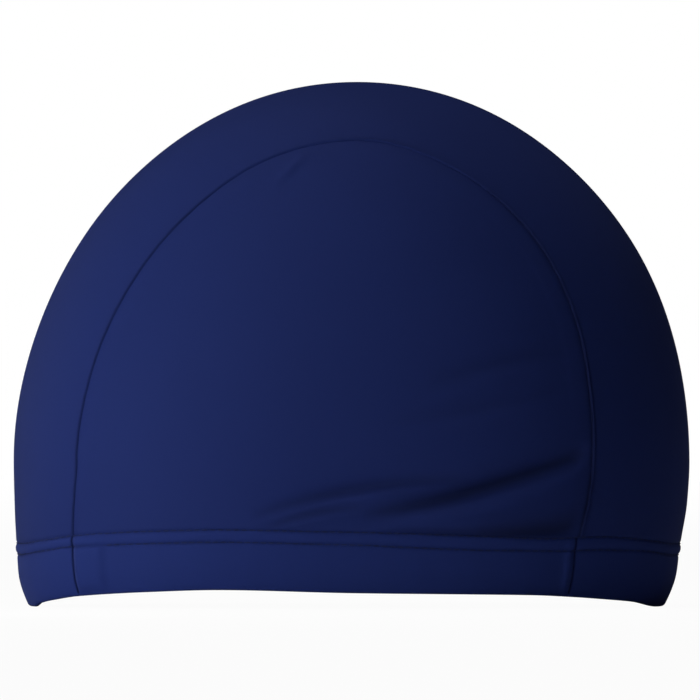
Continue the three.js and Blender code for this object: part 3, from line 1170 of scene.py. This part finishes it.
@dataclass(frozen=True)
class Rim:
    """The hem's place round the rim, by a turn in degrees: 0 at the forehead, 90 left, 180 nape, 270 right.

    Attributes:
        form: the cap's form.
        front_seam: the side seam's share of half the length at the front.
        back_seam: the same at the back.
        depth: depth of the folded hem.
        gauge: least distance between the rows of stitches.
        pitch: usual distance between points along the hem.
    """

    form: CapForm
    front_seam: float = 0.829
    back_seam: float = 0.676
    depth: float = 2.2 * MM
    gauge: float = 3.4 * MM
    pitch: float = 1.1 * MM

    @property
    def edge(self) -> float:
        """Radius of the fold."""
        return self.depth / 2

    def seam_turn(self, share: float) -> float:
        """Turn, counted from the nearer end of the cap, at which the hem meets the side seam."""
        return math.degrees(math.acos(share ** (self.form.long_power / 2)))

    def along(self, turn: Array) -> Array:
        """Share of half the length at a turn."""
        cosine = np.cos(np.radians(turn))
        return -np.sign(cosine) * np.abs(cosine) ** (2 / self.form.long_power)

    def upper_row(self, turn: Array) -> Array:
        """Height of the upper row of stitches."""
        return self.form.hem_top(self.along(turn))

    def lower_row(self, turn: Array) -> Array:
        """Height of the lower row of stitches."""
        along = self.along(turn)
        highest = self.form.hem_top(along) - self.gauge
        return np.minimum(LOWER_CURVE(along) + self.form.rim_edge(along), highest)

    def place(self, turn: Array, z: Array, depth: Array | float = 0.0) -> Array:
        """Points at turns and heights, at a depth under the form.

        Args:
            turn: the turns.
            z: the heights.
            depth: how far inside the form.

        Returns:
            The points.
        """
        form, along = self.form, self.along(turn)
        sine = np.sin(np.radians(turn))
        side = np.sign(sine) * np.abs(sine) ** (2 / form.broad_power)
        skin = np.stack([along * form.reach(along, z), -side * form.spread(z), z + 0 * turn], axis=-1)
        return skin - form.normal(skin) * np.asarray(depth)[..., None]

    def stations(self, start: float, stop: float, shares: Callable[[float], Array]) -> Array:
        """Turns between two turns, spaced along the cloth.

        Args:
            start: the first turn.
            stop: the last one.
            shares: gives the shares of the length at which they stand, for that length.

        Returns:
            The turns.
        """
        fine = np.linspace(start, stop, 2000)
        run = travelled(self.place(fine, np.full_like(fine, self.form.hem_height / 2)), 0)
        return np.interp(shares(run[-1]) * run[-1], run, fine)


BETWEEN_ROWS = (0.0, 0.06, 0.13, 0.22, 0.36, 0.5, 0.64, 0.76, 0.86, 0.93, 1.0)  # shares of the way down
STEEPEST = 0.999  # share of a quarter turn at which the rolled end of the hem stops


@dataclass(frozen=True)
class HemFold:
    """The profile of the folded hem, from the upper row down the outside, round the edge and up the inside.

    Attributes:
        leaf: thickness of one layer.
        row_depth: how far the stitches press the outer layer in.
        row_width: half the width of that line.
        swell: how far the outer layer stands out between the lower row and the edge.
        sag: how the outer layer's widest place moves down, 1 being halfway.
        channel: how far it stands out between the two rows.
        pinch: how far the stitches draw the inner layer towards the outer one.
        pinch_from: share of the way from the edge to the lower row at which that starts.
        inner_rise: how far the inner layer goes on above the upper row, to its raw edge.
        end_roll: radius of the cloth where it turns in at a side seam.
        shade: how much darker its colour is painted there, as shade.
        row_shade: share of that painted shade in the rows of stitches.
        ridge: greatest height of the ridge over a seam's turned-in edges.
        ridge_share: its height as a share of its width, where that is less.
        ridge_start: distances from the seam over which it rises.
        ridge_end: distance over which it falls at its far end.
        ridge_foot: heights above the lower edge over which it rises.
        free_height: how far below the upper row the outer layer hangs free.
        row_pucker: height of the puckers in the upper row, as a share of their height further down.
        row_ridge: the same for the ridge.
        below_row: usual height of the cloth from the lower row to the edge.
        pitch: distance between points up the cloth.
        bend_steps: steps round the edge.
        inner_steps: steps up the inner layer.
    """

    leaf: float = 0.55 * MM
    row_depth: float = 0.28 * MM
    row_width: float = 0.55 * MM
    swell: float = 0.42 * MM
    sag: float = 0.8
    channel: float = 0.36 * MM
    pinch: float = 0.62 * MM
    pinch_from: float = 0.3
    inner_rise: float = 2.0 * MM
    end_roll: float = 0.75 * MM
    shade: float = 0.54
    row_shade: float = 0.24
    ridge: float = 0.85 * MM
    ridge_share: float = 0.2
    ridge_start: tuple[float, float] = (0.6 * MM, 2.0 * MM)
    ridge_end: float = 1.4 * MM
    ridge_foot: tuple[float, float] = (0.8 * MM, 4 * MM)
    free_height: float = 6 * MM
    row_pucker: float = 0.4
    row_ridge: float = 0.25
    below_row: float = 14 * MM
    pitch: float = 0.75 * MM
    bend_steps: int = 8
    inner_steps: int = 14


@dataclass
class HemPiece:
    """A length of the hem between two side seams.

    Attributes:
        name: the piece's name without its ending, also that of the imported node.
        rim: where the hem runs.
        fold: its profile.
        turns: the turns at which it starts and ends.
        cut: width and length of the flat strip.
        ridges: distances from its start and its end that the seam's edges, turned in, fill out.
    """

    name: str
    rim: Rim
    fold: HemFold
    turns: tuple[float, float]
    cut: tuple[float, float]
    ridges: tuple[float, float] = (0.0, 0.0)

    def profile(self, top: Array, row: Array, edge: Array) -> tuple[Array, Array, Array]:
        """Heights and depths of the profile at each station.

        Args:
            top: heights of the upper row.
            row: heights of the lower row.
            edge: heights of the lower edge.

        Returns:
            Heights, depths, and 1 on the outer layer or 0 on the inner one, by profile point and station.
        """
        fold, bend = self.fold, self.rim.edge
        upper = [(1 - s) * top + s * row for s in BETWEEN_ROWS]
        below = graded(fold.below_row, fold.pitch, ROW_STEPS[:6], both_ends=False)
        lower = [row + (edge + bend - row) * s for s in below[1:]]
        outer = np.stack(upper + lower)
        rows = bell(outer - top, fold.row_width) + bell(outer - row, fold.row_width)
        rise = np.clip((outer - edge - bend) / (row - edge - bend), 0.0, 1.0)
        between = np.clip((outer - row) / (top - row), 0.0, 1.0)
        belly = fold.swell * np.sin(math.pi * rise**fold.sag) + fold.channel * np.sin(math.pi * between)
        out_depth = fold.row_depth * rows - belly
        turn_angles = np.linspace(0, math.pi, fold.bend_steps + 1)[1:]
        bend_z = np.stack([edge + bend - bend * math.sin(a) for a in turn_angles])
        bend_depth = np.stack([bend * (1 - math.cos(a)) + 0 * edge for a in turn_angles])
        shares = np.linspace(0, 1, fold.inner_steps + 1)[1:]
        tops = top + fold.inner_rise
        inner = np.stack([edge + bend + (tops - edge - bend) * s for s in shares])
        pressed = smooth_step((inner - edge) / (row - edge), fold.pinch_from, 1.0)
        in_depth = 2 * bend - fold.pinch * pressed
        outside = np.concatenate([np.ones_like(outer), np.zeros_like(bend_z), np.zeros_like(inner)])
        depths = np.concatenate([out_depth, bend_depth, in_depth])
        return np.concatenate([outer, bend_z, inner]), depths, outside

    def ridge_height(self, run: Array) -> Array:
        """Height of the ridges over the seams' turned-in edges, at distances along this length."""
        fold, total = self.fold, np.zeros_like(run)
        for distance, reach in zip((run, run[-1] - run), self.ridges):
            if reach:
                near = smooth_step(distance, *fold.ridge_start)
                far = smooth_step(-distance, -reach - fold.ridge_end, -reach)
                total += min(fold.ridge, fold.ridge_share * reach) * near * far
        return total

    def build(self, material: bpy.types.Material) -> bpy.types.Object:
        """Models and dresses this length of the hem.

        Args:
            material: its knit.

        Returns:
            The piece.
        """
        rim, fold, form = self.rim, self.fold, self.rim.form
        turn = rim.stations(*self.turns, lambda length: graded(length, rim.pitch, ROW_STEPS, both_ends=True))
        edge, top, row = form.rim_edge(rim.along(turn)), rim.upper_row(turn), rim.lower_row(turn)
        z, depth, outside = self.profile(top, row, edge)
        run = travelled(rim.place(turn, np.full_like(turn, form.hem_height / 2)), 0)
        inside_roll = np.clip(1 - np.minimum(run, run[-1] - run) / fold.end_roll, 0.0, 1.0)
        dip = fold.end_roll * (1 - np.sqrt(1 - np.minimum(inside_roll, STEEPEST) ** 2))
        free = np.clip((top - z) / fold.free_height, 0.0, 1.0)
        pucker = ripples(HEM_PUCKERS, run) * (fold.row_pucker + free)
        ridge = self.ridge_height(run) * smooth_step(z - edge, *fold.ridge_foot) * (fold.row_ridge + free)
        swing = HEM_SWING.at(run) * HEM_SWELL.at(run) * free
        depth = depth + outside * (dip - pucker - ridge - swing) - (1 - outside) * dip / 2
        points = rim.place(np.broadcast_to(turn, z.shape), z, depth)
        weave = np.stack([np.broadcast_to(run, z.shape), -travelled(points, 0)], axis=-1)
        # Painted shade in the rows of stitches and where the hem turns in at its ends.
        rows = bell(z - top, fold.row_width) + bell(z - row, fold.row_width)
        pressed = (fold.row_shade + ripples(ROW_SHADE_RIPPLES, run)) * rows
        painted_light = 1 - outside * fold.shade * np.clip(pressed + inside_roll, 0.0, 1.0)
        sheet = ClothMesh()
        sheet.join(sheet.place(points, weave, painted_light))
        piece = sheet.build(f"{self.name}_fold", flip=True)
        thicken(piece, fold.leaf)
        dress(piece, material, "hem_cloth", self.name)
        return piece


@dataclass(frozen=True)
class Template:
    """A small mesh that is modelled once and copied many times.

    Attributes:
        points: its corners.
        faces: the corner numbers of each face, all with as many corners.
    """

    points: Array
    faces: list[tuple[int, ...]]

    @classmethod
    def shaped(cls, size: tuple[float, float, float]) -> "Template":
        """Scales the active primitive in edit mode, reads it and removes it.

        Args:
            size: what its X, Y and Z places are multiplied by.

        Returns:
            The template.
        """
        piece = bpy.context.object
        bpy.ops.object.mode_set(mode="EDIT")
        bpy.ops.mesh.select_all(action="SELECT")
        bpy.ops.transform.resize(value=size)
        bpy.ops.object.mode_set(mode="OBJECT")
        points = np.array([v.co[:] for v in piece.data.vertices])
        faces = [tuple(polygon.vertices) for polygon in piece.data.polygons]
        bpy.data.objects.remove(piece)
        return cls(points, faces)

    def copies(self, name: str, places: Array, frames: Array) -> bpy.types.Object:
        """Makes one object of many copies.

        Args:
            name: its name.
            places: where each copy's origin goes.
            frames: for each copy, its three axes as rows.

        Returns:
            The object.
        """
        points = np.einsum("pk,nkc->npc", self.points, frames) + places[:, None, :]
        count = len(self.points)
        faces = [tuple(c + i * count for c in face) for i in range(len(places)) for face in self.faces]
        return smooth(new_piece(name, points, faces))


def evenly(line: Array, pitch: float, closed: bool) -> tuple[Array, Array]:
    """Whole numbers of steps along a line.

    Args:
        line: its points, the first again at the end where it is closed.
        pitch: the step that the real one comes nearest to.
        closed: whether it ends where it starts.

    Returns:
        The middles of the steps as points, and the directions there.
    """
    run = travelled(line, 0)
    count = round(run[-1] / pitch)
    middles = (np.arange(count) + 0.5) * run[-1] / count
    period = run[-1] if closed else None

    def at(places: Array) -> Array:
        """Points at distances along the line."""
        return np.stack([np.interp(places, run, line[:, i], period=period) for i in range(3)], axis=-1)

    step = pitch / 5
    return at(middles), unit(at(middles + step) - at(middles - step))


def swept(name: str, line: Array, radius: float, sides: int = 6) -> bpy.types.Object:
    """A thread along a line that joins its own start.

    Args:
        name: the piece's name.
        line: its middle, without the first point again at the end.
        radius: the thread's radius.
        sides: how many flats it has round it.

    Returns:
        The piece.
    """
    heading = unit(np.roll(line, -1, axis=0) - np.roll(line, 1, axis=0))
    across = unit(np.cross(heading, [0.0, 0.0, 1.0]))
    upward = np.cross(across, heading)
    angles = np.linspace(0, 2 * math.pi, sides, endpoint=False)[:, None]
    points = line[:, None] + (across[:, None] * np.cos(angles) + upward[:, None] * np.sin(angles)) * radius
    numbers = np.arange(len(line) * sides).reshape(-1, sides)
    near = [numbers, np.roll(numbers, -1, axis=1)]
    far = [np.roll(ring, -1, axis=0) for ring in reversed(near)]
    faces = np.stack(near + far, axis=-1).reshape(-1, 4)
    return smooth(new_piece(name, points, faces.tolist()))


@dataclass
class StitchRows:
    """The two rows of needle stitches round the hem, and the looper thread that ties them on the inside.

    Attributes:
        rim: where the hem runs.
        fold: the hem's profile.
        pitch: length of a stitch.
        shown: how much of it lies on the cloth.
        radius: half the thread's thickness.
        proud: how far its middle lies outside the pressed-in line, as a share of the radius.
        looper_share: thickness of the looper thread as a share of the needle thread's.
        stations: how many points the rows are measured at.
        looper_stations: the same for the looper thread.
        knots: points of the looper thread for each crossing from row to row.
    """

    rim: Rim
    fold: HemFold
    pitch: float = 2.6 * MM
    shown: float = 2.2 * MM
    radius: float = 0.24 * MM
    proud: float = 0.55
    looper_share: float = 0.8
    stations: int = 2881
    looper_stations: int = 4001
    knots: int = 3

    def template(self) -> Template:
        """Models one stitch along X, with Z off the cloth."""
        deselect()
        bpy.ops.mesh.primitive_uv_sphere_add(segments=8, ring_count=8, radius=1, rotation=(0, math.pi / 2, 0))
        bpy.ops.object.transform_apply(location=False, rotation=True, scale=False)
        return Template.shaped((self.shown / 2, self.radius, self.radius))

    def row(self, name: str, height: Callable[[Array], Array], template: Template) -> bpy.types.Object:
        """Lays one row.

        Args:
            name: the piece's name.
            height: the row's height at a turn.
            template: one stitch.

        Returns:
            The row.
        """
        turn = np.linspace(0, 360, self.stations)
        depth = np.full_like(turn, self.fold.row_depth - self.proud * self.radius)
        line = self.rim.place(turn, height(turn), depth)
        places, along = evenly(line, self.pitch, closed=True)
        outwards = self.rim.form.normal(places)
        across = np.cross(outwards, along)
        return template.copies(name, places, np.stack([along, across, outwards], axis=1))

    def looper(self) -> bpy.types.Object:
        """Lays the thread that zigzags between the rows on the inside."""
        turn = np.linspace(0, 360, self.looper_stations)
        run = travelled(self.rim.place(turn, self.rim.upper_row(turn)), 0)
        steps = 2 * round(run[-1] / self.pitch)
        knots = np.arange(steps * self.knots) / (steps * self.knots)
        turns = np.interp(knots * run[-1], run, turn)
        swing = (1 - np.cos(math.pi * steps * knots)) / 2
        z = self.rim.lower_row(turns) * (1 - swing) + self.rim.upper_row(turns) * swing
        radius = self.radius * self.looper_share
        depth = np.full_like(turns, self.rim.depth - self.fold.pinch + radius)
        return swept("looper_thread", self.rim.place(turns, z, depth), radius)

    def build(self, material: bpy.types.Material) -> None:
        """Lays and dresses the rows and the looper thread."""
        stitch = self.template()
        for piece in (
            self.row("upper_needle_row", self.rim.upper_row, stitch),
            self.row("lower_needle_row", self.rim.lower_row, stitch),
            self.looper(),
        ):
            dress(piece, material, "seam_thread")


@dataclass
class SeamEdges:
    """The two cloth edges turned in along a side seam, overlocked together and pressed towards the side.

    Attributes:
        panel: the side panel that they lie under.
        width: how wide they are.
        start: distance from the seam at which they begin.
        top: depth of their upper face.
        layer: thickness of one of the two layers.
        layer_gap: what is open between them.
        loop_pitch: distance between the loops of thread.
        loop_size: half their size across the seam, off the cloth and along the seam.
        loop_thread: radius of the thread as a share of that size.
        loop_inset: distance of their middles from the raw edge.
        loop_slant: how far they lean along the seam, as a share of their reach across it.
        clear: turns that they end short of the hem.
        stations: how many points they have along the seam.
        cut: width and length of the flat strip before it is folded over.
    """

    panel: SidePanel
    width: float = 5.8 * MM
    start: float = 1.0 * MM
    top: float = 0.95 * MM
    layer: float = 0.55 * MM
    layer_gap: float = 0.1 * MM
    loop_pitch: float = 2.5 * MM
    loop_size: tuple[float, float, float] = (2.5 * MM, 0.95 * MM, 1.6 * MM)
    loop_thread: float = 0.12
    loop_inset: float = 2.1 * MM
    loop_slant: float = 0.25
    clear: float = 0.9
    stations: int = 420
    cut: tuple[float, float] = (12.4 * MM, 430 * MM)

    def at(self, distance: float, depth: float) -> Array:
        """A line beside the seam, clear of the hem.

        Args:
            distance: distance from the seam into the side panel.
            depth: depth under the panel's face.

        Returns:
            Its points.
        """
        form = self.panel.form
        front, back = form.turn_ends
        turn = np.linspace(back + self.clear, front - self.clear, self.stations)
        x, z = form.side_view(turn, self.panel.seam.share(turn, -distance))
        return self.panel.raised(x, z, under=depth)

    def build(self, cloth: bpy.types.Material, thread: bpy.types.Material) -> None:
        """Models and dresses the folded strip and its loops of thread.

        Args:
            cloth: finish of the edges.
            thread: finish of the loops.
        """
        base = self.top + 2 * self.layer + self.layer_gap
        bend = (base - self.top) / 2
        far = self.start + self.width - bend
        flat = np.linspace(self.start, far, 5)
        angles = np.linspace(0, math.pi, 7)[1:-1]
        steps = [(distance, self.top) for distance in flat]
        steps += [(far + bend * math.sin(a), self.top + bend * (1 - math.cos(a))) for a in angles]
        steps += [(distance, base) for distance in flat[::-1]]
        points = np.stack([self.at(distance, depth) for distance, depth in steps])
        weave = np.stack([travelled(points, 1), travelled(points, 0)], axis=-1)
        sheet = ClothMesh()
        sheet.join(sheet.place(points, weave))
        side = self.panel.side
        piece = sheet.build(f"{side.word}_seam_edges", flip=side is Side.LEFT)
        thicken(piece, self.layer)
        dress(piece, cloth, "seam_thread", f"{side.word}_seam_allowance")
        self.overlock(thread)

    def overlock(self, thread: bpy.types.Material) -> None:
        """Copies a loop of thread along the raw edges."""
        deselect()
        bpy.ops.mesh.primitive_torus_add(
            major_segments=18, minor_segments=6, major_radius=1.0, minor_radius=self.loop_thread
        )
        template = Template.shaped(self.loop_size)
        line = self.at(self.start + self.width - self.loop_inset, self.top + self.layer)
        places, along = evenly(line, self.loop_pitch, closed=False)
        outwards = self.panel.form.normal(places)
        across = unit(np.cross(outwards, along))
        slanted = unit(across + self.loop_slant * along)
        axes = np.stack([slanted, outwards, along], axis=1)
        loops = template.copies(f"{self.panel.side.word}_overlock", places, axes)
        dress(loops, thread, "seam_thread")


@dataclass(frozen=True)
class Value:
    """One output of a shader tree, with arithmetic.

    Attributes:
        shader: the tree that it is in.
        socket: the output.
    """

    shader: "Shader"
    socket: bpy.types.NodeSocket

    def __add__(self, other: "Value | float") -> "Value":
        """The sum."""
        return self.shader.math("ADD", self, other)

    def __mul__(self, other: "Value | float") -> "Value":
        """The product."""
        return self.shader.math("MULTIPLY", self, other)

    def __sub__(self, other: "Value | float") -> "Value":
        """The difference."""
        return self.shader.math("SUBTRACT", self, other)

    def __rsub__(self, other: float) -> "Value":
        """The difference from a number."""
        return self.shader.math("SUBTRACT", other, self)

    __radd__ = __add__
    __rmul__ = __mul__


@dataclass
class Shader:
    """A material's or the world's tree of nodes.

    Attributes:
        tree: the node tree.
    """

    tree: bpy.types.NodeTree

    @classmethod
    def of(cls, owner: bpy.types.Material | bpy.types.World) -> "Shader":
        """Starts an empty tree for a material or the world."""
        owner.use_nodes = True
        owner.node_tree.nodes.clear()
        return cls(owner.node_tree)

    def feed(self, socket: bpy.types.NodeSocket, value: Any) -> None:
        """Links an output to an input, or sets the input to a plain value."""
        if isinstance(value, Value):
            self.tree.links.new(value.socket, socket)
        else:
            socket.default_value = value

    def node(self, kind: str, inputs: Inputs | None = None, output: Any = 0, **settings: Any) -> Value:
        """Adds a node.

        Args:
            kind: its type, without the words that all types start with.
            inputs: its inputs, by name or number.
            output: which output is wanted, by name or number.
            settings: its properties.

        Returns:
            That output.
        """
        node = self.tree.nodes.new(f"ShaderNode{kind}")
        for name, value in settings.items():
            setattr(node, name, value)
        for name, value in (inputs or {}).items():
            self.feed(node.inputs[name], value)
        return Value(self, node.outputs[output])

    def finish(self, kind: str, surface: Value) -> None:
        """Adds the tree's last node, for a material or the world."""
        node = self.tree.nodes.new(f"ShaderNodeOutput{kind}")
        self.feed(node.inputs["Surface"], surface)

    def math(self, operation: str, *values: "Value | float") -> Value:
        """Adds a scalar sum, product or function."""
        return self.node("Math", dict(enumerate(values)), operation=operation)

    def mix(self, share: "Value | float", first: Any, second: Any) -> Value:
        """Blends two colours."""
        return self.node("Mix", {0: share, 6: first, 7: second}, 2, data_type="RGBA")

    def skin(self, colour: Any, roughness: float, specular: float, relief: Inputs | None = None) -> Value:
        """Adds a surface.

        Args:
            colour: its colour.
            roughness: its roughness.
            specular: strength of its highlight.
            relief: inputs of its bumps, if it has any.

        Returns:
            The surface.
        """
        inputs = {"Base Color": colour, "Roughness": roughness, "Specular IOR Level": specular}
        if relief:
            inputs["Normal"] = self.node("Bump", relief)
        return self.node("BsdfPrincipled", inputs)


def opaque(colour: Colour) -> tuple[float, float, float, float]:
    """A colour with full alpha."""
    return (*colour, 1.0)


BLACK: Colour = (0.0, 0.0, 0.0)
WHITE: Colour = (1.0, 1.0, 1.0)


@dataclass(frozen=True)
class KnitFinish:
    """Swim knit: fine upright wales, an almost matt face and slight mottling.

    Attributes:
        colour: colour of the cloth.
        shade: colour of its darker flecks.
        roughness: roughness of the face.
        specular: strength of its highlight.
        wale: width of a wale.
        course: height of a course.
        relief: height of the stitches.
        bump: how strongly that height tilts the light.
        wale_share: the wales' share of the height, beside the courses.
        blotches: fineness of the mottling.
        flecks: fineness of its finer part.
        blotch_share: the coarser part's share of the mottling.
    """

    colour: Colour = (0.0122, 0.0262, 0.1520)
    shade: Colour = (0.0113, 0.0243, 0.1410)
    roughness: float = 0.80
    specular: float = 0.16
    wale: float = 0.45 * MM
    course: float = 0.35 * MM
    relief: float = 0.012 * MM
    bump: float = 0.35
    wale_share: float = 0.6
    blotches: float = 90.0
    flecks: float = 900.0
    blotch_share: float = 0.6

    def material(self, name: str) -> bpy.types.Material:
        """Makes the material.

        Args:
            name: its name.

        Returns:
            The material.
        """
        material = bpy.data.materials.new(name)
        shader = Shader.of(material)
        weave = shader.node("UVMap", uv_map="weave")
        place = shader.node("TexCoord", output="Object")
        u, v = (shader.node("SeparateXYZ", {0: weave}, axis) for axis in range(2))
        wales = shader.math("COSINE", u * (2 * math.pi / self.wale))
        rows = shader.math("COSINE", v * (2 * math.pi / self.course) + wales)
        height = wales * self.wale_share + rows * (1 - self.wale_share)
        blotch = shader.node("TexNoise", {"Vector": place, "Scale": self.blotches, "Detail": 3.0})
        fleck = shader.node("TexNoise", {"Vector": place, "Scale": self.flecks, "Detail": 1.0})
        tone = blotch * self.blotch_share + fleck * (1 - self.blotch_share)
        cloth = shader.mix(tone, opaque(self.shade), opaque(self.colour))
        # Painted shade: the knit's colour is darkened towards black where the sheets carry it.
        painted_light = shader.node("Attribute", output="Fac", attribute_name="painted_light")
        colour = shader.mix(painted_light, opaque(BLACK), cloth)
        relief = {"Strength": self.bump, "Distance": self.relief, "Height": height}
        shader.finish("Material", shader.skin(colour, self.roughness, self.specular, relief))
        return material


PANEL_KNIT = KnitFinish()
# The hem's knit is the panel's knit painted lighter, a painted brightening for the light that the hem
# catches.
LIT_HEM_KNIT = KnitFinish((0.0142, 0.0310, 0.1790), (0.0131, 0.0286, 0.1660))


@dataclass(frozen=True)
class ThreadFinish:
    """Matt sewing thread.

    Attributes:
        colour: its colour.
        roughness: its roughness.
        specular: strength of its highlight.
    """

    colour: Colour = (0.0135, 0.024, 0.105)
    roughness: float = 0.85
    specular: float = 0.25

    def material(self, name: str) -> bpy.types.Material:
        """Makes the material."""
        material = bpy.data.materials.new(name)
        shader = Shader.of(material)
        shader.finish("Material", shader.skin(opaque(self.colour), self.roughness, self.specular))
        return material


@dataclass(frozen=True)
class AreaLight:
    """A soft lamp.

    Attributes:
        name: its name.
        place: where it stands.
        size: its width and height.
        power: its power in watts.
        aim: what it points at.
    """

    name: str
    place: tuple[float, float, float]
    size: float
    power: float
    aim: tuple[float, float, float] = (0.0, 0.0, 0.08)

    def build(self) -> bpy.types.Object:
        """Sets the lamp up."""
        data = bpy.data.lights.new(self.name, "AREA")
        data.shape = "SQUARE"
        data.size = self.size
        data.energy = self.power
        lamp = bpy.data.objects.new(self.name, data)
        bpy.context.collection.objects.link(lamp)
        place = Vector(self.place)
        lamp.location = place
        lamp.rotation_euler = (Vector(self.aim) - place).to_track_quat("-Z", "Y").to_euler()
        lamp.visible_camera = False
        return lamp


@dataclass(frozen=True)
class Studio:
    """The pale floor, the world, the lamps and the camera.

    Attributes:
        floor_radius: radius of the round floor.
        floor_sides: how many sides it has.
        floor_colour: its colour.
        near_glow: how much the floor shines by itself under the cap.
        far_glow: how much it shines far away, where it runs into the white world.
        glow_from: distance at which it starts to shine more.
        glow_to: distance at which it shines fully.
        eye: where the camera stands.
        field: width of what it sees at the cap.
        sensor: width of its sensor, in its own millimetres.
        clip: distances between which it sees.
    """

    floor_radius: float = 60.0
    floor_sides: int = 96
    floor_colour: Colour = (0.9, 0.9, 0.9)
    near_glow: float = 0.96
    far_glow: float = 1.0
    glow_from: float = 0.3
    glow_to: float = 6.0
    eye: tuple[float, float, float] = (-0.65 * MM, -6.0, 83.4 * MM)
    field: float = 228 * MM
    sensor: float = 36.0
    clip: tuple[float, float] = (0.1, 500.0)

    LAMPS = (
        AreaLight("key", (-0.55, -0.30, 0.06), 0.08, 0.49),
        AreaLight("low", (-0.20, -0.20, 0.06), 0.08, 0.122),
        AreaLight("front", (-0.10, -0.30, 0.30), 0.08, 0.166),
        AreaLight("window", (-1.254, -0.336, 0.168), 0.16, 0.52),
        AreaLight("top", (-0.35, -0.05, 1.35), 0.60, 5.20),
        AreaLight("fill", (0.862, 0.498, 0.916), 0.40, 0.61),
        AreaLight("back", (-1.109, 0.640, 0.306), 0.40, 1.90),
    )

    def floor(self) -> bpy.types.Object:
        """Lays the floor."""
        deselect()
        sides, radius = self.floor_sides, self.floor_radius
        bpy.ops.mesh.primitive_circle_add(vertices=sides, radius=radius, fill_type="NGON")
        floor = bpy.context.object
        floor.name = "studio_floor"
        material = bpy.data.materials.new("studio_floor")
        shader = Shader.of(material)
        place = shader.node("TexCoord", output="Object")
        away = shader.node("VectorMath", {0: place}, "Value", operation="LENGTH")
        span = {"Value": away, "From Min": self.glow_from, "From Max": self.glow_to}
        far = shader.node("MapRange", span, interpolation_type="SMOOTHSTEP")
        seen = shader.node("LightPath", output="Is Camera Ray")
        glow = seen * (self.far_glow - (1 - far) * (self.far_glow - self.near_glow))
        matt = shader.skin(opaque(self.floor_colour), roughness=0.9, specular=0.1)
        shine = shader.node("Emission", {"Color": opaque(WHITE), "Strength": 1.0})
        shader.finish("Material", shader.node("MixShader", {0: glow, 1: matt, 2: shine}))
        floor.data.materials.append(material)
        return floor

    def world(self) -> None:
        """Makes the world white to the camera and dark as a light."""
        world = bpy.data.worlds.new("studio_world")
        shader = Shader.of(world)
        seen = shader.node("LightPath", output="Is Camera Ray")
        shader.finish("World", shader.node("Background", {"Color": opaque(WHITE), "Strength": seen}))
        bpy.context.scene.world = world

    def camera(self) -> None:
        """Sets up a long lens that looks square at the cap's left side."""
        data = bpy.data.cameras.new("studio_camera")
        data.sensor_width = self.sensor
        data.lens = self.sensor * -self.eye[1] / self.field
        data.clip_start, data.clip_end = self.clip
        camera = bpy.data.objects.new("studio_camera", data)
        camera.location = self.eye
        camera.rotation_euler = (math.pi / 2, 0.0, 0.0)
        bpy.context.collection.objects.link(camera)
        bpy.context.scene.camera = camera

    def build(self) -> None:
        """Sets up the whole studio."""
        self.floor()
        self.world()
        self.camera()
        for lamp in self.LAMPS:
            lamp.build()
        bpy.context.scene.view_settings.view_transform = "Standard"


def corners(box: tuple[Vector, Vector]) -> list[list[float]]:
    """A box as plain lists of numbers."""
    return [list(map(float, corner)) for corner in box]


def main() -> None:
    """Builds the cap piece by piece, then the studio."""
    logging.basicConfig(level=logging.INFO, format="%(name)s: %(message)s", stream=sys.stdout)
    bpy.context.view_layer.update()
    form = CapForm.from_frame()
    seam, cloth, fold = SeamLine.on(form), Cloth(), HemFold()
    rim = Rim(form)
    panel_knit, lit_hem_knit = PANEL_KNIT.material("panel_knit"), LIT_HEM_KNIT.material("lit_hem_knit")
    thread = ThreadFinish().material("seam_thread")
    CentrePanel(form, seam, cloth).build(panel_knit)
    panels = [SidePanel(form, seam, cloth, side) for side in Side]
    for panel in panels:
        panel.build(panel_knit)
    front, back = rim.seam_turn(rim.front_seam), 180 - rim.seam_turn(rim.back_seam)
    front_ridge, back_ridge = 11 * MM, 2.2 * MM
    side_cut = (172 * MM, 42 * MM)
    hems = (
        HemPiece("front_hem", rim, fold, (-front, front), (82 * MM, 42 * MM)),
        HemPiece("left_hem", rim, fold, (front, back), side_cut, (front_ridge, back_ridge)),
        HemPiece("back_hem", rim, fold, (back, 360 - back), (112 * MM, 42 * MM)),
        HemPiece("right_hem", rim, fold, (360 - back, 360 - front), side_cut, (back_ridge, front_ridge)),
    )
    for hem in hems:
        hem.build(lit_hem_knit)
    StitchRows(rim, fold).build(thread)
    for panel in panels:
        SeamEdges(panel).build(panel_knit, thread)
    Studio().build()


if __name__ == "__main__":
    main()
